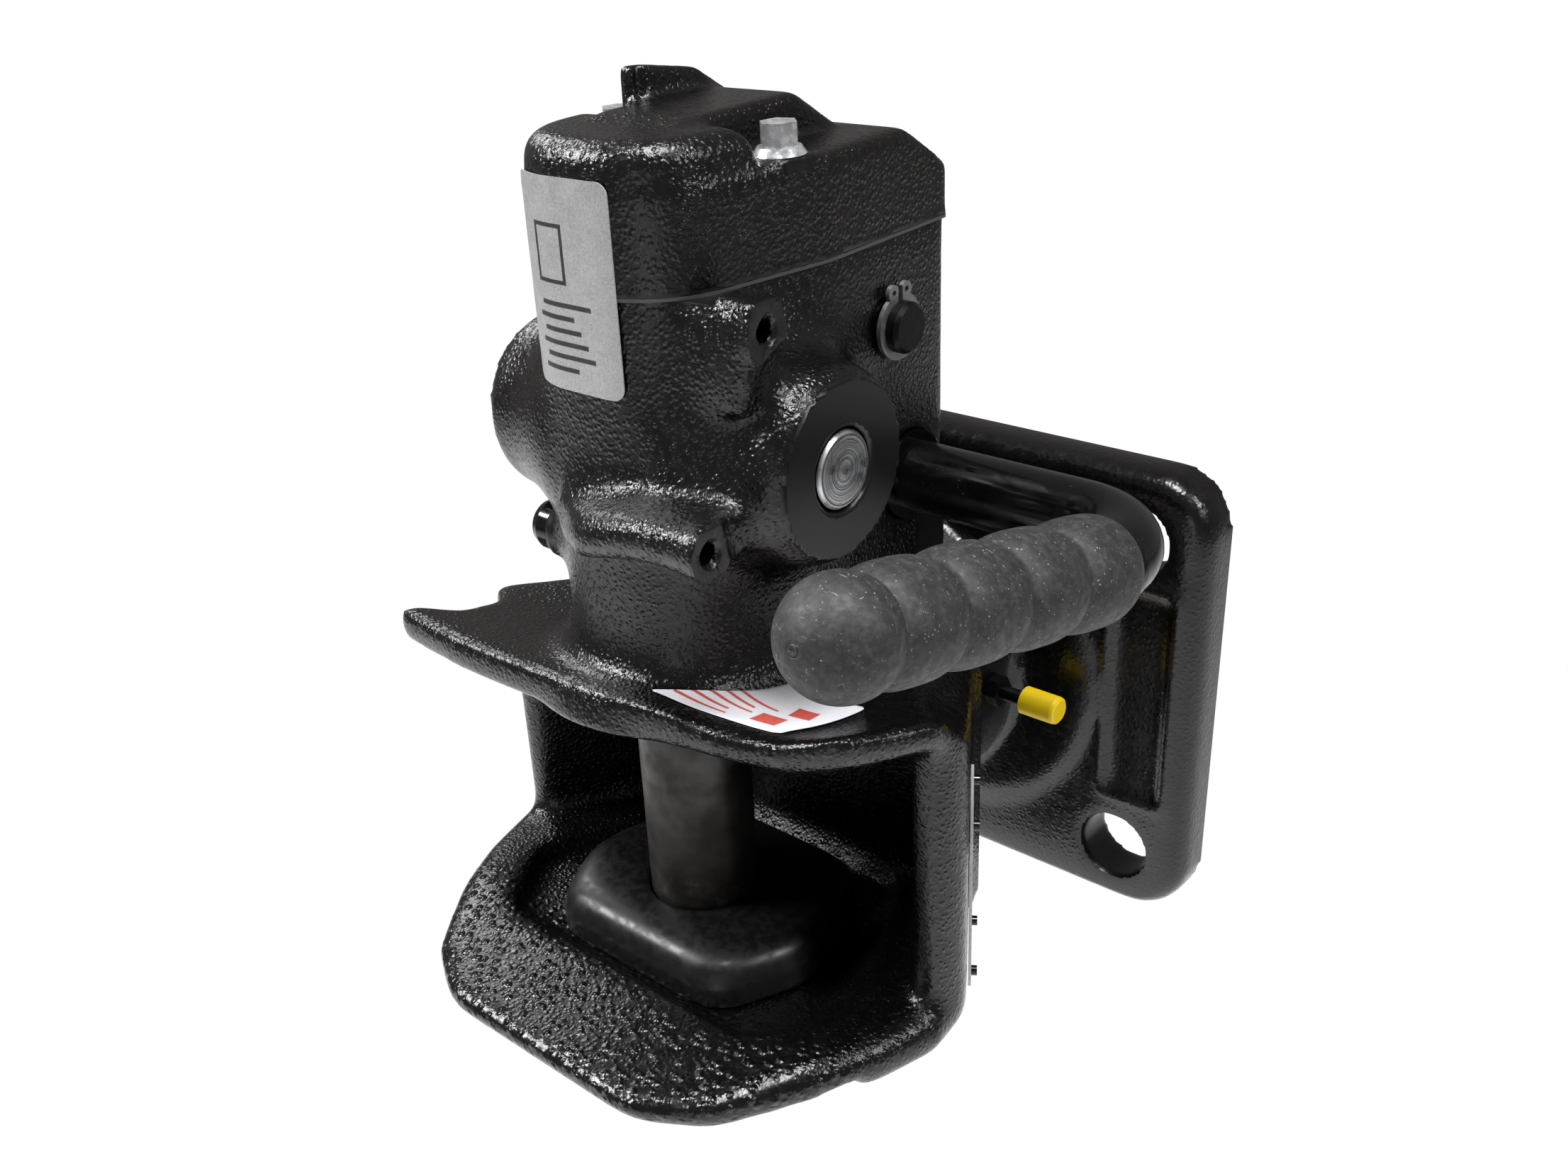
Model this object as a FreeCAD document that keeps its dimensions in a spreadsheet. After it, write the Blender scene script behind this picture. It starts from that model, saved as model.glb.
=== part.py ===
import FreeCAD, Part
import math
import os
import Sketcher

doc = FreeCAD.newDocument("TrailerCoupling")
sheet = doc.addObject("Spreadsheet::Sheet", "Dim")
V = FreeCAD.Vector


class Size:
    """A number together with the sheet expression that gives it."""

    def __init__(self, value, text):
        self.value = float(value)
        self.text = text

    def __add__(self, other):
        other = size(other)
        return Size(self.value + other.value, "(%s + %s)" % (self.text, other.text))

    def __sub__(self, other):
        other = size(other)
        return Size(self.value - other.value, "(%s - %s)" % (self.text, other.text))

    def __mul__(self, other):
        other = size(other)
        return Size(self.value * other.value, "(%s * %s)" % (self.text, other.text))

    def __truediv__(self, other):
        other = size(other)
        return Size(self.value / other.value, "(%s / %s)" % (self.text, other.text))

    def __neg__(self):
        return Size(-self.value, "(0 - %s)" % self.text)

    def __radd__(self, other):
        return size(other) + self

    def __rsub__(self, other):
        return size(other) - self

    def __rmul__(self, other):
        return size(other) * self


def size(number):
    """Any plain number as a Size."""
    if isinstance(number, Size):
        return number
    return Size(number, "%.6g" % number)


row = 0


def dim(alias, value, note):
    """One settable size: a row of the sheet with its name and meaning."""
    global row
    row += 1
    sheet.set("A%d" % row, alias)
    sheet.set("B%d" % row, "%.6g" % value)
    sheet.set("C%d" % row, note)
    sheet.setAlias("B%d" % row, alias)
    return Size(value, "Dim." + alias)


# Flange plate and swivel bearing
plate_w = dim("plate_width", 203, "flange plate width")
plate_h = dim("plate_height", 140, "flange plate height")
plate_t = dim("plate_thick", 15, "flange plate thickness")
plate_r = dim("plate_corner", 17, "flange plate corner radius")
edge_r = dim("plate_edge", 6, "rounding of the plate's front edge")
span_x = dim("bolt_span_across", 160, "flange bolt spacing across")
span_z = dim("bolt_span_up", 100, "flange bolt spacing up")
hole_d = dim("bolt_hole_dia", 21, "flange bolt hole diameter")
pad_w = dim("pad_half_width", 71, "oval pad half width")
pad_h = dim("pad_half_height", 50, "oval pad half height")
pad_t = dim("pad_height", 3, "oval pad height over the plate")
neck_r = dim("neck_radius", 47, "bearing neck radius")
neck_y = dim("neck_reach", 45, "bearing neck front, from the mounting face")
bush_t = dim("bush_wall", 3, "bearing bush wall")
flange_t = dim("bush_flange", 3, "bearing bush flange thickness")
shank_r = dim("shank_radius", 25, "swivel shank radius")
shank_fit = dim("shank_clearance", 0.08, "radial running clearance of the shank")
washer_t = dim("washer_thick", 6, "thrust washer thickness")
washer_r = dim("washer_radius", 37, "thrust washer radius")
recess_t = dim("washer_recess", 2, "depth of the turned recess round the washer")
nut_af = dim("nut_flats", 65, "castle nut across flats")
nut_t = dim("nut_thick", 28, "castle nut height")
thread_r = dim("thread_radius", 21, "threaded end radius")
swivel_gap = dim("swivel_gap", 0.3, "end play of the swivel")
bush_ring = dim("bush_ring", 4, "width of the bush flange round the bush")

# Head casting
pin_y = dim("pin_setback", 108, "coupling pin axis, from the mounting face")
pin_r = dim("pin_radius", 15.5, "coupling pin radius")
pin_fit = dim("pin_clearance", 0.1, "radial clearance of the pin in its guides")
pin_low = dim("pin_foot", 62, "pin foot below the shank axis")
pin_top = dim("pin_head", 68, "pin top above the shank axis")
sleeve_t = dim("sleeve_wall", 3, "pin guide sleeve wall")
roof_z = dim("mouth_roof", 20, "mouth roof above the shank axis")
floor_z = dim("mouth_floor", 52, "mouth floor below the shank axis")
seam_z = dim("seam_height", 136, "cover joint above the shank axis")
gasket_t = dim("gasket_thick", 0.8, "cover gasket thickness")
tower_w = dim("tower_half_width", 33, "tower half width at its widest")
tower_back = dim("tower_back", 31, "tower rear face, from the mounting face")
tower_front = dim("tower_front", 135, "tower front, from the mounting face")
boss_y = dim("boss_setback", 102, "control boss axis, from the mounting face")
boss_z = dim("boss_height", 93.5, "control boss axis above the shank axis")
boss_r = dim("boss_radius", 25, "control boss radius")
boss_x = dim("boss_reach", 51, "control boss face from the middle plane")
boss_rim = dim("boss_rim", 2, "rounding of the boss rim")
plunger_r = dim("plunger_radius", 9.7, "control plunger radius")
plunger_fit = dim("plunger_clearance", 0.08, "radial clearance of the plunger")
plunger_out = dim("plunger_travel", 12, "control plunger travel")
lug_circle = dim("lug_circle", 41.5, "radius of the tapped holes round the boss")
lug_x = dim("lug_face", 45, "lug face from the middle plane")
lug_r = dim("lug_radius", 6.8, "round end of a lug")
lug_core = dim("lug_core_radius", 2.5, "tapped hole core radius")
lug_deep = dim("lug_depth", 14, "tapped hole depth")
lip_top = dim("upper_lip_top", 29.5, "upper lip top above the shank axis, at its rear")
lip_rise = dim("upper_lip_rise", 9, "rise of the upper lip to its front rim")
wear_t = dim("wear_plate_stand", 10, "support plate height over the floor")
seat_deep = dim("wear_plate_seat", 5, "depth of the pocket in the floor")
housing_low = dim("housing_foot", 86, "lower pin housing foot below the axis")

# Hand lever and lifting gear
lever_y = dim("lever_setback", 50, "lever shaft axis, from the mounting face")
lever_z = dim("lever_height", 71, "lever shaft axis above the shank axis")
lever_r = dim("lever_radius", 9.5, "lever bar radius")
lever_fit = dim("lever_clearance", 0.08, "radial clearance of the lever shaft")
lever_bush = dim("lever_bush_wall", 2.5, "lever bush wall")
lever_x = dim("lever_reach", 104, "grip axis from the middle plane")
bend_r = dim("lever_bend", 20, "centre line radius of the lever's bend")
grip_r = dim("grip_radius", 13.5, "grip radius")
grip_len = dim("grip_length", 108, "grip axis length from the lever shaft to the ball centre")
grip_tilt = dim("grip_tilt", 11, "rise of the grip in degrees")
grip_yaw = dim("grip_turn", 4.6, "inward turn of the grip in degrees")
travel = dim("pin_travel", 72, "coupling pin travel")
nose_r = dim("arm_nose", 6, "lifting arm nose radius")
nose_play = dim("nose_play", 2.2, "play of the nose in the pin's slot")
slot_past = dim("slot_past_axis", 6, "depth of the pin's slot past the pin axis")
arm_end = dim("arm_end_half", 3.2, "half height of the arm beside its nose")
arm_t = dim("arm_thick", 12, "lifting arm thickness")
pivot_y = dim("pivot_setback", 57.5, "catch pivot axis, from the mounting face")
pivot_z = dim("pivot_height", 114, "catch pivot axis above the shank axis")
pivot_r = dim("pivot_radius", 6.6, "catch pivot radius")
doc.recompute()


def bind(obj, prop, value):
    """Set a property from a Size, by its expression where it has one."""
    value = size(value)
    if "Dim." in value.text:
        obj.setExpression(prop, value.text)
    else:
        node = obj
        parts = prop.split(".")
        if parts[0] == "Placement":
            place = obj.Placement
            setattr(place.Base, parts[2], value.value)
            obj.Placement = place
        else:
            setattr(node, prop, value.value)


def put(obj, x, y, z):
    """Bind the three coordinates of an object's place."""
    bind(obj, "Placement.Base.x", x)
    bind(obj, "Placement.Base.y", y)
    bind(obj, "Placement.Base.z", z)
    return obj


TURN = {
    "X": FreeCAD.Rotation(V(0, 1, 0), V(0, 0, 1), V(1, 0, 0), "ZXY"),
    "Y": FreeCAD.Rotation(V(1, 0, 0), V(0, 0, 1), V(0, -1, 0), "ZXY"),
    "Z": FreeCAD.Rotation(),
}


def placed(obj, axis, start, u, v):
    """Put an object made along its own z on an axis: start along it, u and v across."""
    obj.Placement = FreeCAD.Placement(V(0, 0, 0), TURN[axis])
    where = {"X": (start, u, v), "Y": (u, start, v), "Z": (u, v, start)}[axis]
    return put(obj, *where)


def box(x0, x1, y0, y1, z0, z1):
    """A block between two corners."""
    obj = doc.addObject("Part::Box", "Block")
    bind(obj, "Length", size(x1) - x0)
    bind(obj, "Width", size(y1) - y0)
    bind(obj, "Height", size(z1) - z0)
    return put(obj, x0, y0, z0)


def cyl(axis, r, a0, a1, u, v):
    """A round bar along an axis, from a0 to a1; on Y it runs towards the trailer."""
    obj = doc.addObject("Part::Cylinder", "Round")
    bind(obj, "Radius", r)
    bind(obj, "Height", size(a1) - a0)
    return placed(obj, axis, a1 if axis == "Y" else a0, u, v)


def cone(axis, r0, r1, a0, a1, u, v):
    """A taper along an axis, radius r0 at a0 and r1 at a1."""
    obj = doc.addObject("Part::Cone", "Taper")
    if axis == "Y":
        r0, r1 = r1, r0
    bind(obj, "Radius1", r0)
    bind(obj, "Radius2", r1)
    bind(obj, "Height", size(a1) - a0)
    return placed(obj, axis, a1 if axis == "Y" else a0, u, v)


def outline(points):
    """A closed sketch through points (u, v) or rounded corners (u, v, radius)."""
    sk = doc.addObject("Sketcher::SketchObject", "Outline")
    n = len(points)
    pts = [(size(p[0]), size(p[1]), size(p[2]) if len(p) > 2 else None) for p in points]
    pos = [V(p[0].value, p[1].value, 0) for p in pts]
    enter, leave, arcs = [], [], []
    for i in range(n):
        here = pos[i]
        if pts[i][2] is None:
            enter.append(here)
            leave.append(here)
            arcs.append(None)
            continue
        a = (pos[i - 1] - here).normalize()
        b = (pos[(i + 1) % n] - here).normalize()
        half = a.getAngle(b) / 2
        r = pts[i][2].value
        back = r / math.tan(half)
        enter.append(here + a * back)
        leave.append(here + b * back)
        centre = here + (a + b).normalize() * (r / math.sin(half))
        left = a.cross(b).z < 0
        first, last = (enter[i], leave[i]) if left else (leave[i], enter[i])
        t0 = math.atan2(first.y - centre.y, first.x - centre.x)
        t1 = math.atan2(last.y - centre.y, last.x - centre.x)
        if t1 < t0:
            t1 += 2 * math.pi
        arcs.append((centre, r, t0, t1, left))
    lines = []
    for i in range(n):
        seg = Part.LineSegment(leave[i], enter[(i + 1) % n])
        lines.append(sk.addGeometry(seg, False))
    rules, bound = [], []

    def fix(kind, geo, value):
        rules.append(Sketcher.Constraint(kind, -1, 1, geo, 1, value.value))
        if "Dim." in value.text:
            bound.append((len(rules) - 1, value.text))

    for i in range(n):
        before, after = lines[i - 1], lines[i]
        if arcs[i] is None:
            rules.append(Sketcher.Constraint("Coincident", before, 2, after, 1))
            fix("DistanceX", after, pts[i][0])
            fix("DistanceY", after, pts[i][1])
            continue
        centre, r, t0, t1, left = arcs[i]
        circle = Part.Circle(centre, V(0, 0, 1), r)
        arc = sk.addGeometry(Part.ArcOfCircle(circle, t0, t1), False)
        mark = sk.addGeometry(Part.Point(pos[i]), True)
        first, last = (1, 2) if left else (2, 1)
        rules.append(Sketcher.Constraint("Tangent", before, 2, arc, first))
        rules.append(Sketcher.Constraint("Tangent", arc, last, after, 1))
        rules.append(Sketcher.Constraint("Radius", arc, r))
        if "Dim." in pts[i][2].text:
            bound.append((len(rules) - 1, pts[i][2].text))
        rules.append(Sketcher.Constraint("PointOnObject", mark, 1, before))
        rules.append(Sketcher.Constraint("PointOnObject", mark, 1, after))
        fix("DistanceX", mark, pts[i][0])
        fix("DistanceY", mark, pts[i][1])
    sk.addConstraint(rules)
    for index, text in bound:
        sk.setExpression("Constraints[%d]" % index, text)
    return sk


def prism(axis, points, a0, a1):
    """An outline drawn across an axis and carried from a0 to a1."""
    sk = outline(points)
    placed(sk, axis, a1 if axis == "Y" else a0, 0, 0)
    obj = doc.addObject("Part::Extrusion", "Prism")
    obj.Base = sk
    obj.DirMode = "Normal"
    obj.Solid = True
    bind(obj, "LengthFwd", size(a1) - a0)
    return obj


def turned(axis, profile, start, u, v):
    """A turned piece: profile points (radius, distance along the axis)."""
    sk = outline(profile)
    sk.Placement = FreeCAD.Placement(V(0, 0, 0), FreeCAD.Rotation(V(1, 0, 0), 90))
    obj = doc.addObject("Part::Revolution", "Turned")
    obj.Source = sk
    obj.Axis = V(0, 0, 1)
    obj.Angle = 360
    obj.Solid = True
    return placed(obj, axis, start, u, v)


def loft(low, low_z, high, high_z):
    """A smooth change from one outline to another one above it."""
    a = placed(outline(low), "Z", low_z, 0, 0)
    b = placed(outline(high), "Z", high_z, 0, 0)
    obj = doc.addObject("Part::Loft", "Blend")
    obj.Sections = [a, b]
    obj.Solid = True
    obj.Ruled = True
    return obj


def fuse(*parts):
    """All the pieces joined into one."""
    obj = doc.addObject("Part::MultiFuse", "Joined")
    obj.Shapes = list(parts)
    obj.Refine = True
    return obj


def cut(base, *tools):
    """The base with every tool taken away."""
    obj = doc.addObject("Part::Cut", "Cut")
    obj.Base = base
    obj.Tool = tools[0] if len(tools) == 1 else fuse(*tools)
    obj.Refine = True
    return obj


def cut_each(base, tools):
    """The base with the tools taken away one after another."""
    for tool in tools:
        base = cut(base, tool)
        base.Refine = False
    return base


def common(base, tool):
    """What two pieces share."""
    obj = doc.addObject("Part::MultiCommon", "Shared")
    obj.Shapes = [base, tool]
    return obj


def rounded(base, radius, chosen):
    """Round the edges that the test picks."""
    doc.recompute()
    picks = []
    for number, edge in enumerate(base.Shape.Edges, 1):
        if chosen(edge):
            picks.append((number, radius, radius))
    obj = doc.addObject("Part::Fillet", "Rounding")
    obj.Base = base
    obj.Edges = picks
    return obj


def mirrored(base):
    """The same piece on the other side of the middle plane."""
    obj = doc.addObject("Part::Mirroring", "Mirror")
    obj.Source = base
    obj.Normal = V(1, 0, 0)
    obj.Base = V(0, 0, 0)
    return obj


def group(*parts):
    """Separate solids kept in one piece of the list."""
    obj = doc.addObject("Part::Compound", "Group")
    obj.Links = list(parts)
    return obj


def both(points):
    """A half outline from front to back on +X, completed on -X."""
    other = [(-size(p[0]),) + tuple(p[1:]) for p in reversed(points)]
    return list(points) + other


nodes = []


def node(label, obj):
    """Name a finished piece of the assembly."""
    obj.Label = label
    nodes.append(obj)
    return obj


def flat_at(axis, value, reach=0.01):
    """Test for edges lying in one plane across an axis."""
    index = "xyz".index(axis)

    def test(edge):
        lows = (edge.BoundBox.XMin, edge.BoundBox.YMin, edge.BoundBox.ZMin)
        highs = (edge.BoundBox.XMax, edge.BoundBox.YMax, edge.BoundBox.ZMax)
        return abs(lows[index] - value) < reach and abs(highs[index] - value) < reach

    return test


# Flange plate with its oval pad, bearing neck, bolt holes and bare sunk panel
half_w = plate_w / 2
half_h = plate_h / 2
slab = prism("Y", [(-half_w, -half_h, plate_r), (half_w, -half_h, plate_r),
                   (half_w, half_h, plate_r), (-half_w, half_h, plate_r)], -plate_t, 0)
slab = rounded(slab, edge_r.value, flat_at("y", -plate_t.value))
pad = prism("Y", [(-pad_w, -pad_h, pad_h - 1), (pad_w, -pad_h, pad_h - 1),
                  (pad_w, pad_h, pad_h - 1), (-pad_w, pad_h, pad_h - 1)],
            -plate_t - pad_t, -plate_t / 2)
neck = cyl("Y", neck_r, -neck_y, -plate_t, 0, 0)
flare = cone("Y", neck_r, neck_r + 3, -plate_t - pad_t - 4, -plate_t - pad_t + 1, 0, 0)
holes = [cyl("Y", hole_d / 2, -plate_t - 10, 1, sx * span_x / 2, sz * span_z / 2)
         for sx in (-1, 1) for sz in (-1, 1)]
panel_x0 = pad_w + 4
panel_x1 = half_w - 8
panel = prism("Y", [(panel_x0, -31, 2), (panel_x1, -31, 2), (panel_x1, 36, 2), (panel_x0, 36, 2)],
              -plate_t - 1, -plate_t + 1.4)
rim_out = prism("Y", [(panel_x0 - 2, -33, 3), (panel_x1 + 2, -33, 3),
                      (panel_x1 + 2, 38, 3), (panel_x0 - 2, 38, 3)], -plate_t - 0.8, -plate_t + 1)
bore = cyl("Y", shank_r + shank_fit + bush_t, -neck_y - 1, 1, 0, 0)
nipple_y = -30
pocket = cyl("X", 9, neck_r - 1, neck_r + 8, nipple_y, 0)
nipple_hole = cyl("X", 3, shank_r, neck_r, nipple_y, 0)
ring_r = shank_r + shank_fit + bush_t + bush_ring
front_sink = cyl("Y", ring_r, -neck_y - 1, -neck_y + flange_t, 0, 0)
back_sink = cyl("Y", ring_r, -flange_t, 1, 0, 0)
recess = cyl("Y", washer_r + 1.5, -recess_t, 1, 0, 0)
node("flange_plate", cut(fuse(slab, pad, neck, flare, rim_out), bore, pocket, nipple_hole,
                         front_sink, back_sink, recess, panel, *holes))


def bearing_bush(y_face, y_end, sign):
    """A flanged bush pressed into the neck; sign tells which way its flange is."""
    inner = shank_r + shank_fit
    low, high = (y_face, y_end) if sign < 0 else (y_end, y_face)
    body = cyl("Y", inner + bush_t, low, high, 0, 0)
    if sign < 0:
        ring = cyl("Y", ring_r, y_face, y_face + flange_t, 0, 0)
    else:
        ring = cyl("Y", ring_r, y_face - flange_t, y_face, 0, 0)
    return cut(fuse(body, ring), cyl("Y", inner, low - 1, high + 1, 0, 0))


node("front_bearing_bush", bearing_bush(-neck_y, -neck_y + 12, -1))
node("rear_bearing_bush", bearing_bush(size(0), size(-14), 1))

# Grease nipple in its pocket, and the yellow dust cap over its head
seat_x = neck_r - 1
cap_x = seat_x + 11.5
node("grease_nipple", fuse(
    cyl("X", 3, shank_r + bush_t + 3, seat_x, nipple_y, 0),
    prism("X", [(nipple_y + 4.6 * math.cos(k * math.pi / 3), 4.6 * math.sin(k * math.pi / 3))
                for k in range(6)], seat_x, seat_x + 4),
    cyl("X", 2.2, seat_x + 4, cap_x + 2.5, nipple_y, 0),
    cone("X", 3.2, 2.2, cap_x + 2.5, cap_x + 6.5, nipple_y, 0)))
cap = turned("X", [(0, 11.5), (3.2, 11.5), (3.9, 11), (4.1, 10.2), (4.1, 0), (3.4, 0), (3.4, 7.3), (0, 8.6)],
             cap_x, nipple_y, 0)
node("nipple_cap", cap)

# Head casting: catch jaw, tower, bosses, lugs and swivel shank
jaw_plan = both([(size(0), -182), (36, -178, 20), (54, -167, 14), (69, -145, 14),
                 (77, -128, 10), (83, -107, 8), (79, -92, 8), (58, -60, 8), (44, -46, 4)])
jaw_plan = [p for k, p in enumerate(jaw_plan) if k not in (0, len(jaw_plan) - 1)]
lower_lip = prism("Z", jaw_plan, -floor_z - 14, -floor_z)
lower_lip = rounded(lower_lip, 5.5, lambda e: abs(e.BoundBox.ZMin - e.BoundBox.ZMax) < 0.01)
apron = prism("X", [(-186, -floor_z + 2), (-140, -floor_z + 2), (-140, -floor_z),
                    (-186, -floor_z - 7)], -80, 80)
apron_low = prism("X", [(-190, -floor_z - 30), (-190, -floor_z - 14), (-178, -floor_z - 16),
                        (-130, -floor_z - 9), (-130, -floor_z - 30)], -80, 80)
lip_plan = [(-52, -46, 4), (-66, -88, 6), (-84, -108, 8), (-81, -145, 7), (-50, -148, 20),
            (10, -147, 40), (44, -142, 20), (72, -134, 8), (84, -106, 6), (66, -88, 6), (52, -46, 4)]
bend_at = -108
rim_at = -148


def lip_skin(over):
    """The lip's side profile, its top raised by a little."""
    return [(rim_at - 4, roof_z + 8), (bend_at + 2, roof_z), (-44, roof_z), (-44, lip_top + over),
            (bend_at, lip_top + over), (rim_at, lip_top + lip_rise + over),
            (rim_at - 4, lip_top + lip_rise + over)]


upper_lip = common(prism("Z", lip_plan, roof_z - 1, lip_top + 20), prism("X", lip_skin(0), -95, 95))


def jaw_wall():
    """One side wall of the jaw, flaring outwards to its rounded front edge."""
    points = [(48, -46, 3), (58, -58, 8), (83, -96, 5), (79, -108, 5), (71, -104, 5),
              (46, -62, 10), (36, -56)]
    return prism("Z", points, -floor_z - 9, lip_top - 5)


wall = jaw_wall()
back_wall = box(-54, 54, -60, -neck_y - swivel_gap - 0.7, -floor_z - 14, lip_top)
ceiling_bevel = prism("Y", [(46, roof_z + 1), (79, roof_z + 1), (79, roof_z - 14)], -104, -60)
floor_bevel = prism("Y", [(46, -floor_z - 1), (79, -floor_z - 1), (79, -floor_z + 14)], -104, -60)
wall_room = prism("Z", [(40, -50), (58, -58), (83, -96), (79, -108), (38, -60)],
                  -floor_z - 9, lip_top - 5)
bevels = common(fuse(ceiling_bevel, floor_bevel), wall_room)
tower_plan = both([(25.5, -tower_front, 23), (tower_w, -83, 25), (tower_w - 2, -tower_back, 3)])
tower = prism("Z", tower_plan, roof_z + 4, seam_z)
skirt = loft(both([(12, -141), (27, -129), (32, -112), (38, -84), (37, -46)]), lip_top - 3,
             both([(10, -134), (21, -125), (25, -112), (tower_w - 0.5, -84), (tower_w - 2.5, -46)]),
             lip_top + 13)
housing = cyl("Z", 27, -housing_low, -floor_z - 4, 0, -pin_y)
under = prism("Z", both([(56, -106, 10), (69, -92, 10), (54, -58, 8), (44, -46, 4)]),
              -housing_low + 3, -floor_z - 6)
side_boss = cyl("X", 8, -33, -22, -pin_y - 10, lever_z - 7)
neck_seat = cyl("Y", 44, -60, -neck_y - swivel_gap, 0, 0)


def boss(side):
    """A control boss with a conical root and a broken rim."""
    bar = cyl("X", boss_r, 10, boss_x - boss_rim, -boss_y, boss_z)
    rim = cone("X", boss_r, boss_r - boss_rim * 0.3, boss_x - boss_rim, boss_x - boss_rim * 0.3,
               -boss_y, boss_z)
    rim_end = cone("X", boss_r - boss_rim * 0.3, boss_r - boss_rim, boss_x - boss_rim * 0.3, boss_x,
                   -boss_y, boss_z)
    root = cone("X", boss_r + 9, boss_r + 0.5, 18, 40, -boss_y, boss_z)
    one = fuse(bar, rim, rim_end, root)
    return one if side > 0 else mirrored(one)


def lug_centre(angle):
    """The place of a tapped hole on its circle round the boss."""
    turn = math.radians(angle)
    return (-boss_y + lug_circle * math.cos(turn), boss_z + lug_circle * math.sin(turn))


upper_lug = lug_centre(116)
lower_lug = lug_centre(191)
lug_web = lug_r - 0.2
lugs = [cyl("X", lug_r, 18, lug_x, *upper_lug),
        prism("X", [(upper_lug[0] - lug_web, upper_lug[1]), (upper_lug[0] + lug_web, upper_lug[1]),
                    (upper_lug[0] + 9, upper_lug[1] - 16), (upper_lug[0] - 8, upper_lug[1] - 20)],
              18, lug_x),
        cyl("X", lug_r, -14, lug_x, *lower_lug),
        box(-10, lug_x, lower_lug[0], -118, lower_lug[1] - lug_web, lower_lug[1] + lug_web)]
spot = cut(cyl("X", boss_r + 11, lug_x - 2, lug_x + 2, -boss_y, boss_z),
           cyl("X", boss_r + 0.3, lug_x - 3, lug_x + 3, -boss_y, boss_z))
shank = cyl("Y", shank_r, -60, washer_t + 1, 0, 0)
stud = cyl("Y", thread_r, 0, washer_t + nut_t + 8, 0, 0)
body = fuse(cut(lower_lip, apron, apron_low), upper_lip, wall, mirrored(wall), back_wall,
            bevels, mirrored(bevels), tower, skirt, housing, under, side_boss, neck_seat,
            boss(1), boss(-1), *lugs)
sleeve_r = pin_r + pin_fit + sleeve_t
guide_r = plunger_r + plunger_fit + 5
guide_x = boss_x - 6
room = box(-19, 19, -pin_y, -tower_back - 6, roof_z + 6, seam_z + 1)
tools = [
    cyl("X", guide_r, 12, guide_x, -boss_y, boss_z),
    cyl("X", plunger_r + 0.5, 12, boss_x + 1, -boss_y, boss_z),
    cyl("Y", neck_r + 2, -neck_y - swivel_gap, 0, 0, 0),
    spot,
    room,
    box(-60, tower_w + 0.6, -200, 0, seam_z, seam_z + 20),
    cyl("Z", sleeve_r, roof_z - 2, seam_z + 1, 0, -pin_y),
    cyl("Z", sleeve_r, -housing_low - 1, -floor_z + 1, 0, -pin_y),
    prism("Z", both([(46, -143, 8), (60, -120, 10), (55, -105, 8), (44, -82, 10), (38, -64, 8)]),
          -floor_z - seat_deep, -floor_z + 2),
    cyl("X", 14, -boss_x - 1, -boss_x + 9, -boss_y, boss_z),
    cyl("X", lever_r + lever_fit + lever_bush, -25, 50, -lever_y, lever_z),
    cyl("X", pivot_r, -50, 50, -pivot_y, pivot_z),
    cyl("X", 7.4, -44, -33, -pin_y - 10, lever_z - 7),
]
for centre in (upper_lug, lower_lug):
    tools.append(cyl("X", lug_core, lug_x - lug_deep, lug_x + 1, *centre))
    tools.append(cone("X", lug_core, lug_core + 1.2, lug_x - 1.2, lug_x, *centre))
bolt_x = 25.8
bolt_y = -91.5
for side in (-1, 1):
    tools.append(cyl("Z", 3, seam_z - 16, seam_z + 1, side * bolt_x, bolt_y))
wear_bolt_y = -84
for side in (-1, 1):
    tools.append(cyl("Z", 3.3, -housing_low, -floor_z, side * 24, wear_bolt_y))
split_y = washer_t + nut_t - 4
swivel = cut(fuse(shank, stud), cyl("X", 2.6, -30, 30, split_y, 0))
casting = fuse(cut_each(body, tools), swivel)
casting.Refine = False
node("head_casting", casting)

# Swivel retention behind the flange: washer, castle nut, split pin
node("thrust_washer", cut(cyl("Y", washer_r, swivel_gap, washer_t, 0, 0),
                          cyl("Y", shank_r + 0.1, 0, washer_t + 1, 0, 0)))
nut_r = nut_af / math.sqrt(3)
nut = prism("Y", [(nut_r * math.cos(k * math.pi / 3), nut_r * math.sin(k * math.pi / 3))
                  for k in range(6)], washer_t + 1, washer_t + 1 + nut_t - 8)
crown = cyl("Y", nut_af / 2 - 3, washer_t + nut_t - 8, washer_t + 1 + nut_t, 0, 0)
slots = [box(-40, 40, washer_t + nut_t - 7, washer_t + nut_t + 2, -3, 3)]
for turn in (60, 120):
    slot = box(-40, 40, -4.5, 4.5, -3, 3)
    slot.Placement = FreeCAD.Placement(V(0, 0, 0), FreeCAD.Rotation(V(0, 1, 0), turn)).multiply(
        FreeCAD.Placement(V(-40, 0, -3), FreeCAD.Rotation()))
    bind(slot, "Placement.Base.y", washer_t + nut_t - 7)
    slots.append(slot)
node("castle_nut", cut(fuse(nut, crown), cyl("Y", thread_r, 0, 60, 0, 0), *slots))
pin_body = cyl("X", 2.5, -31, 32, split_y, 0)
pin_eye = cyl("Z", 2.8, -2, 2, 33.5, split_y)
node("split_pin", fuse(pin_body, pin_eye))

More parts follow.
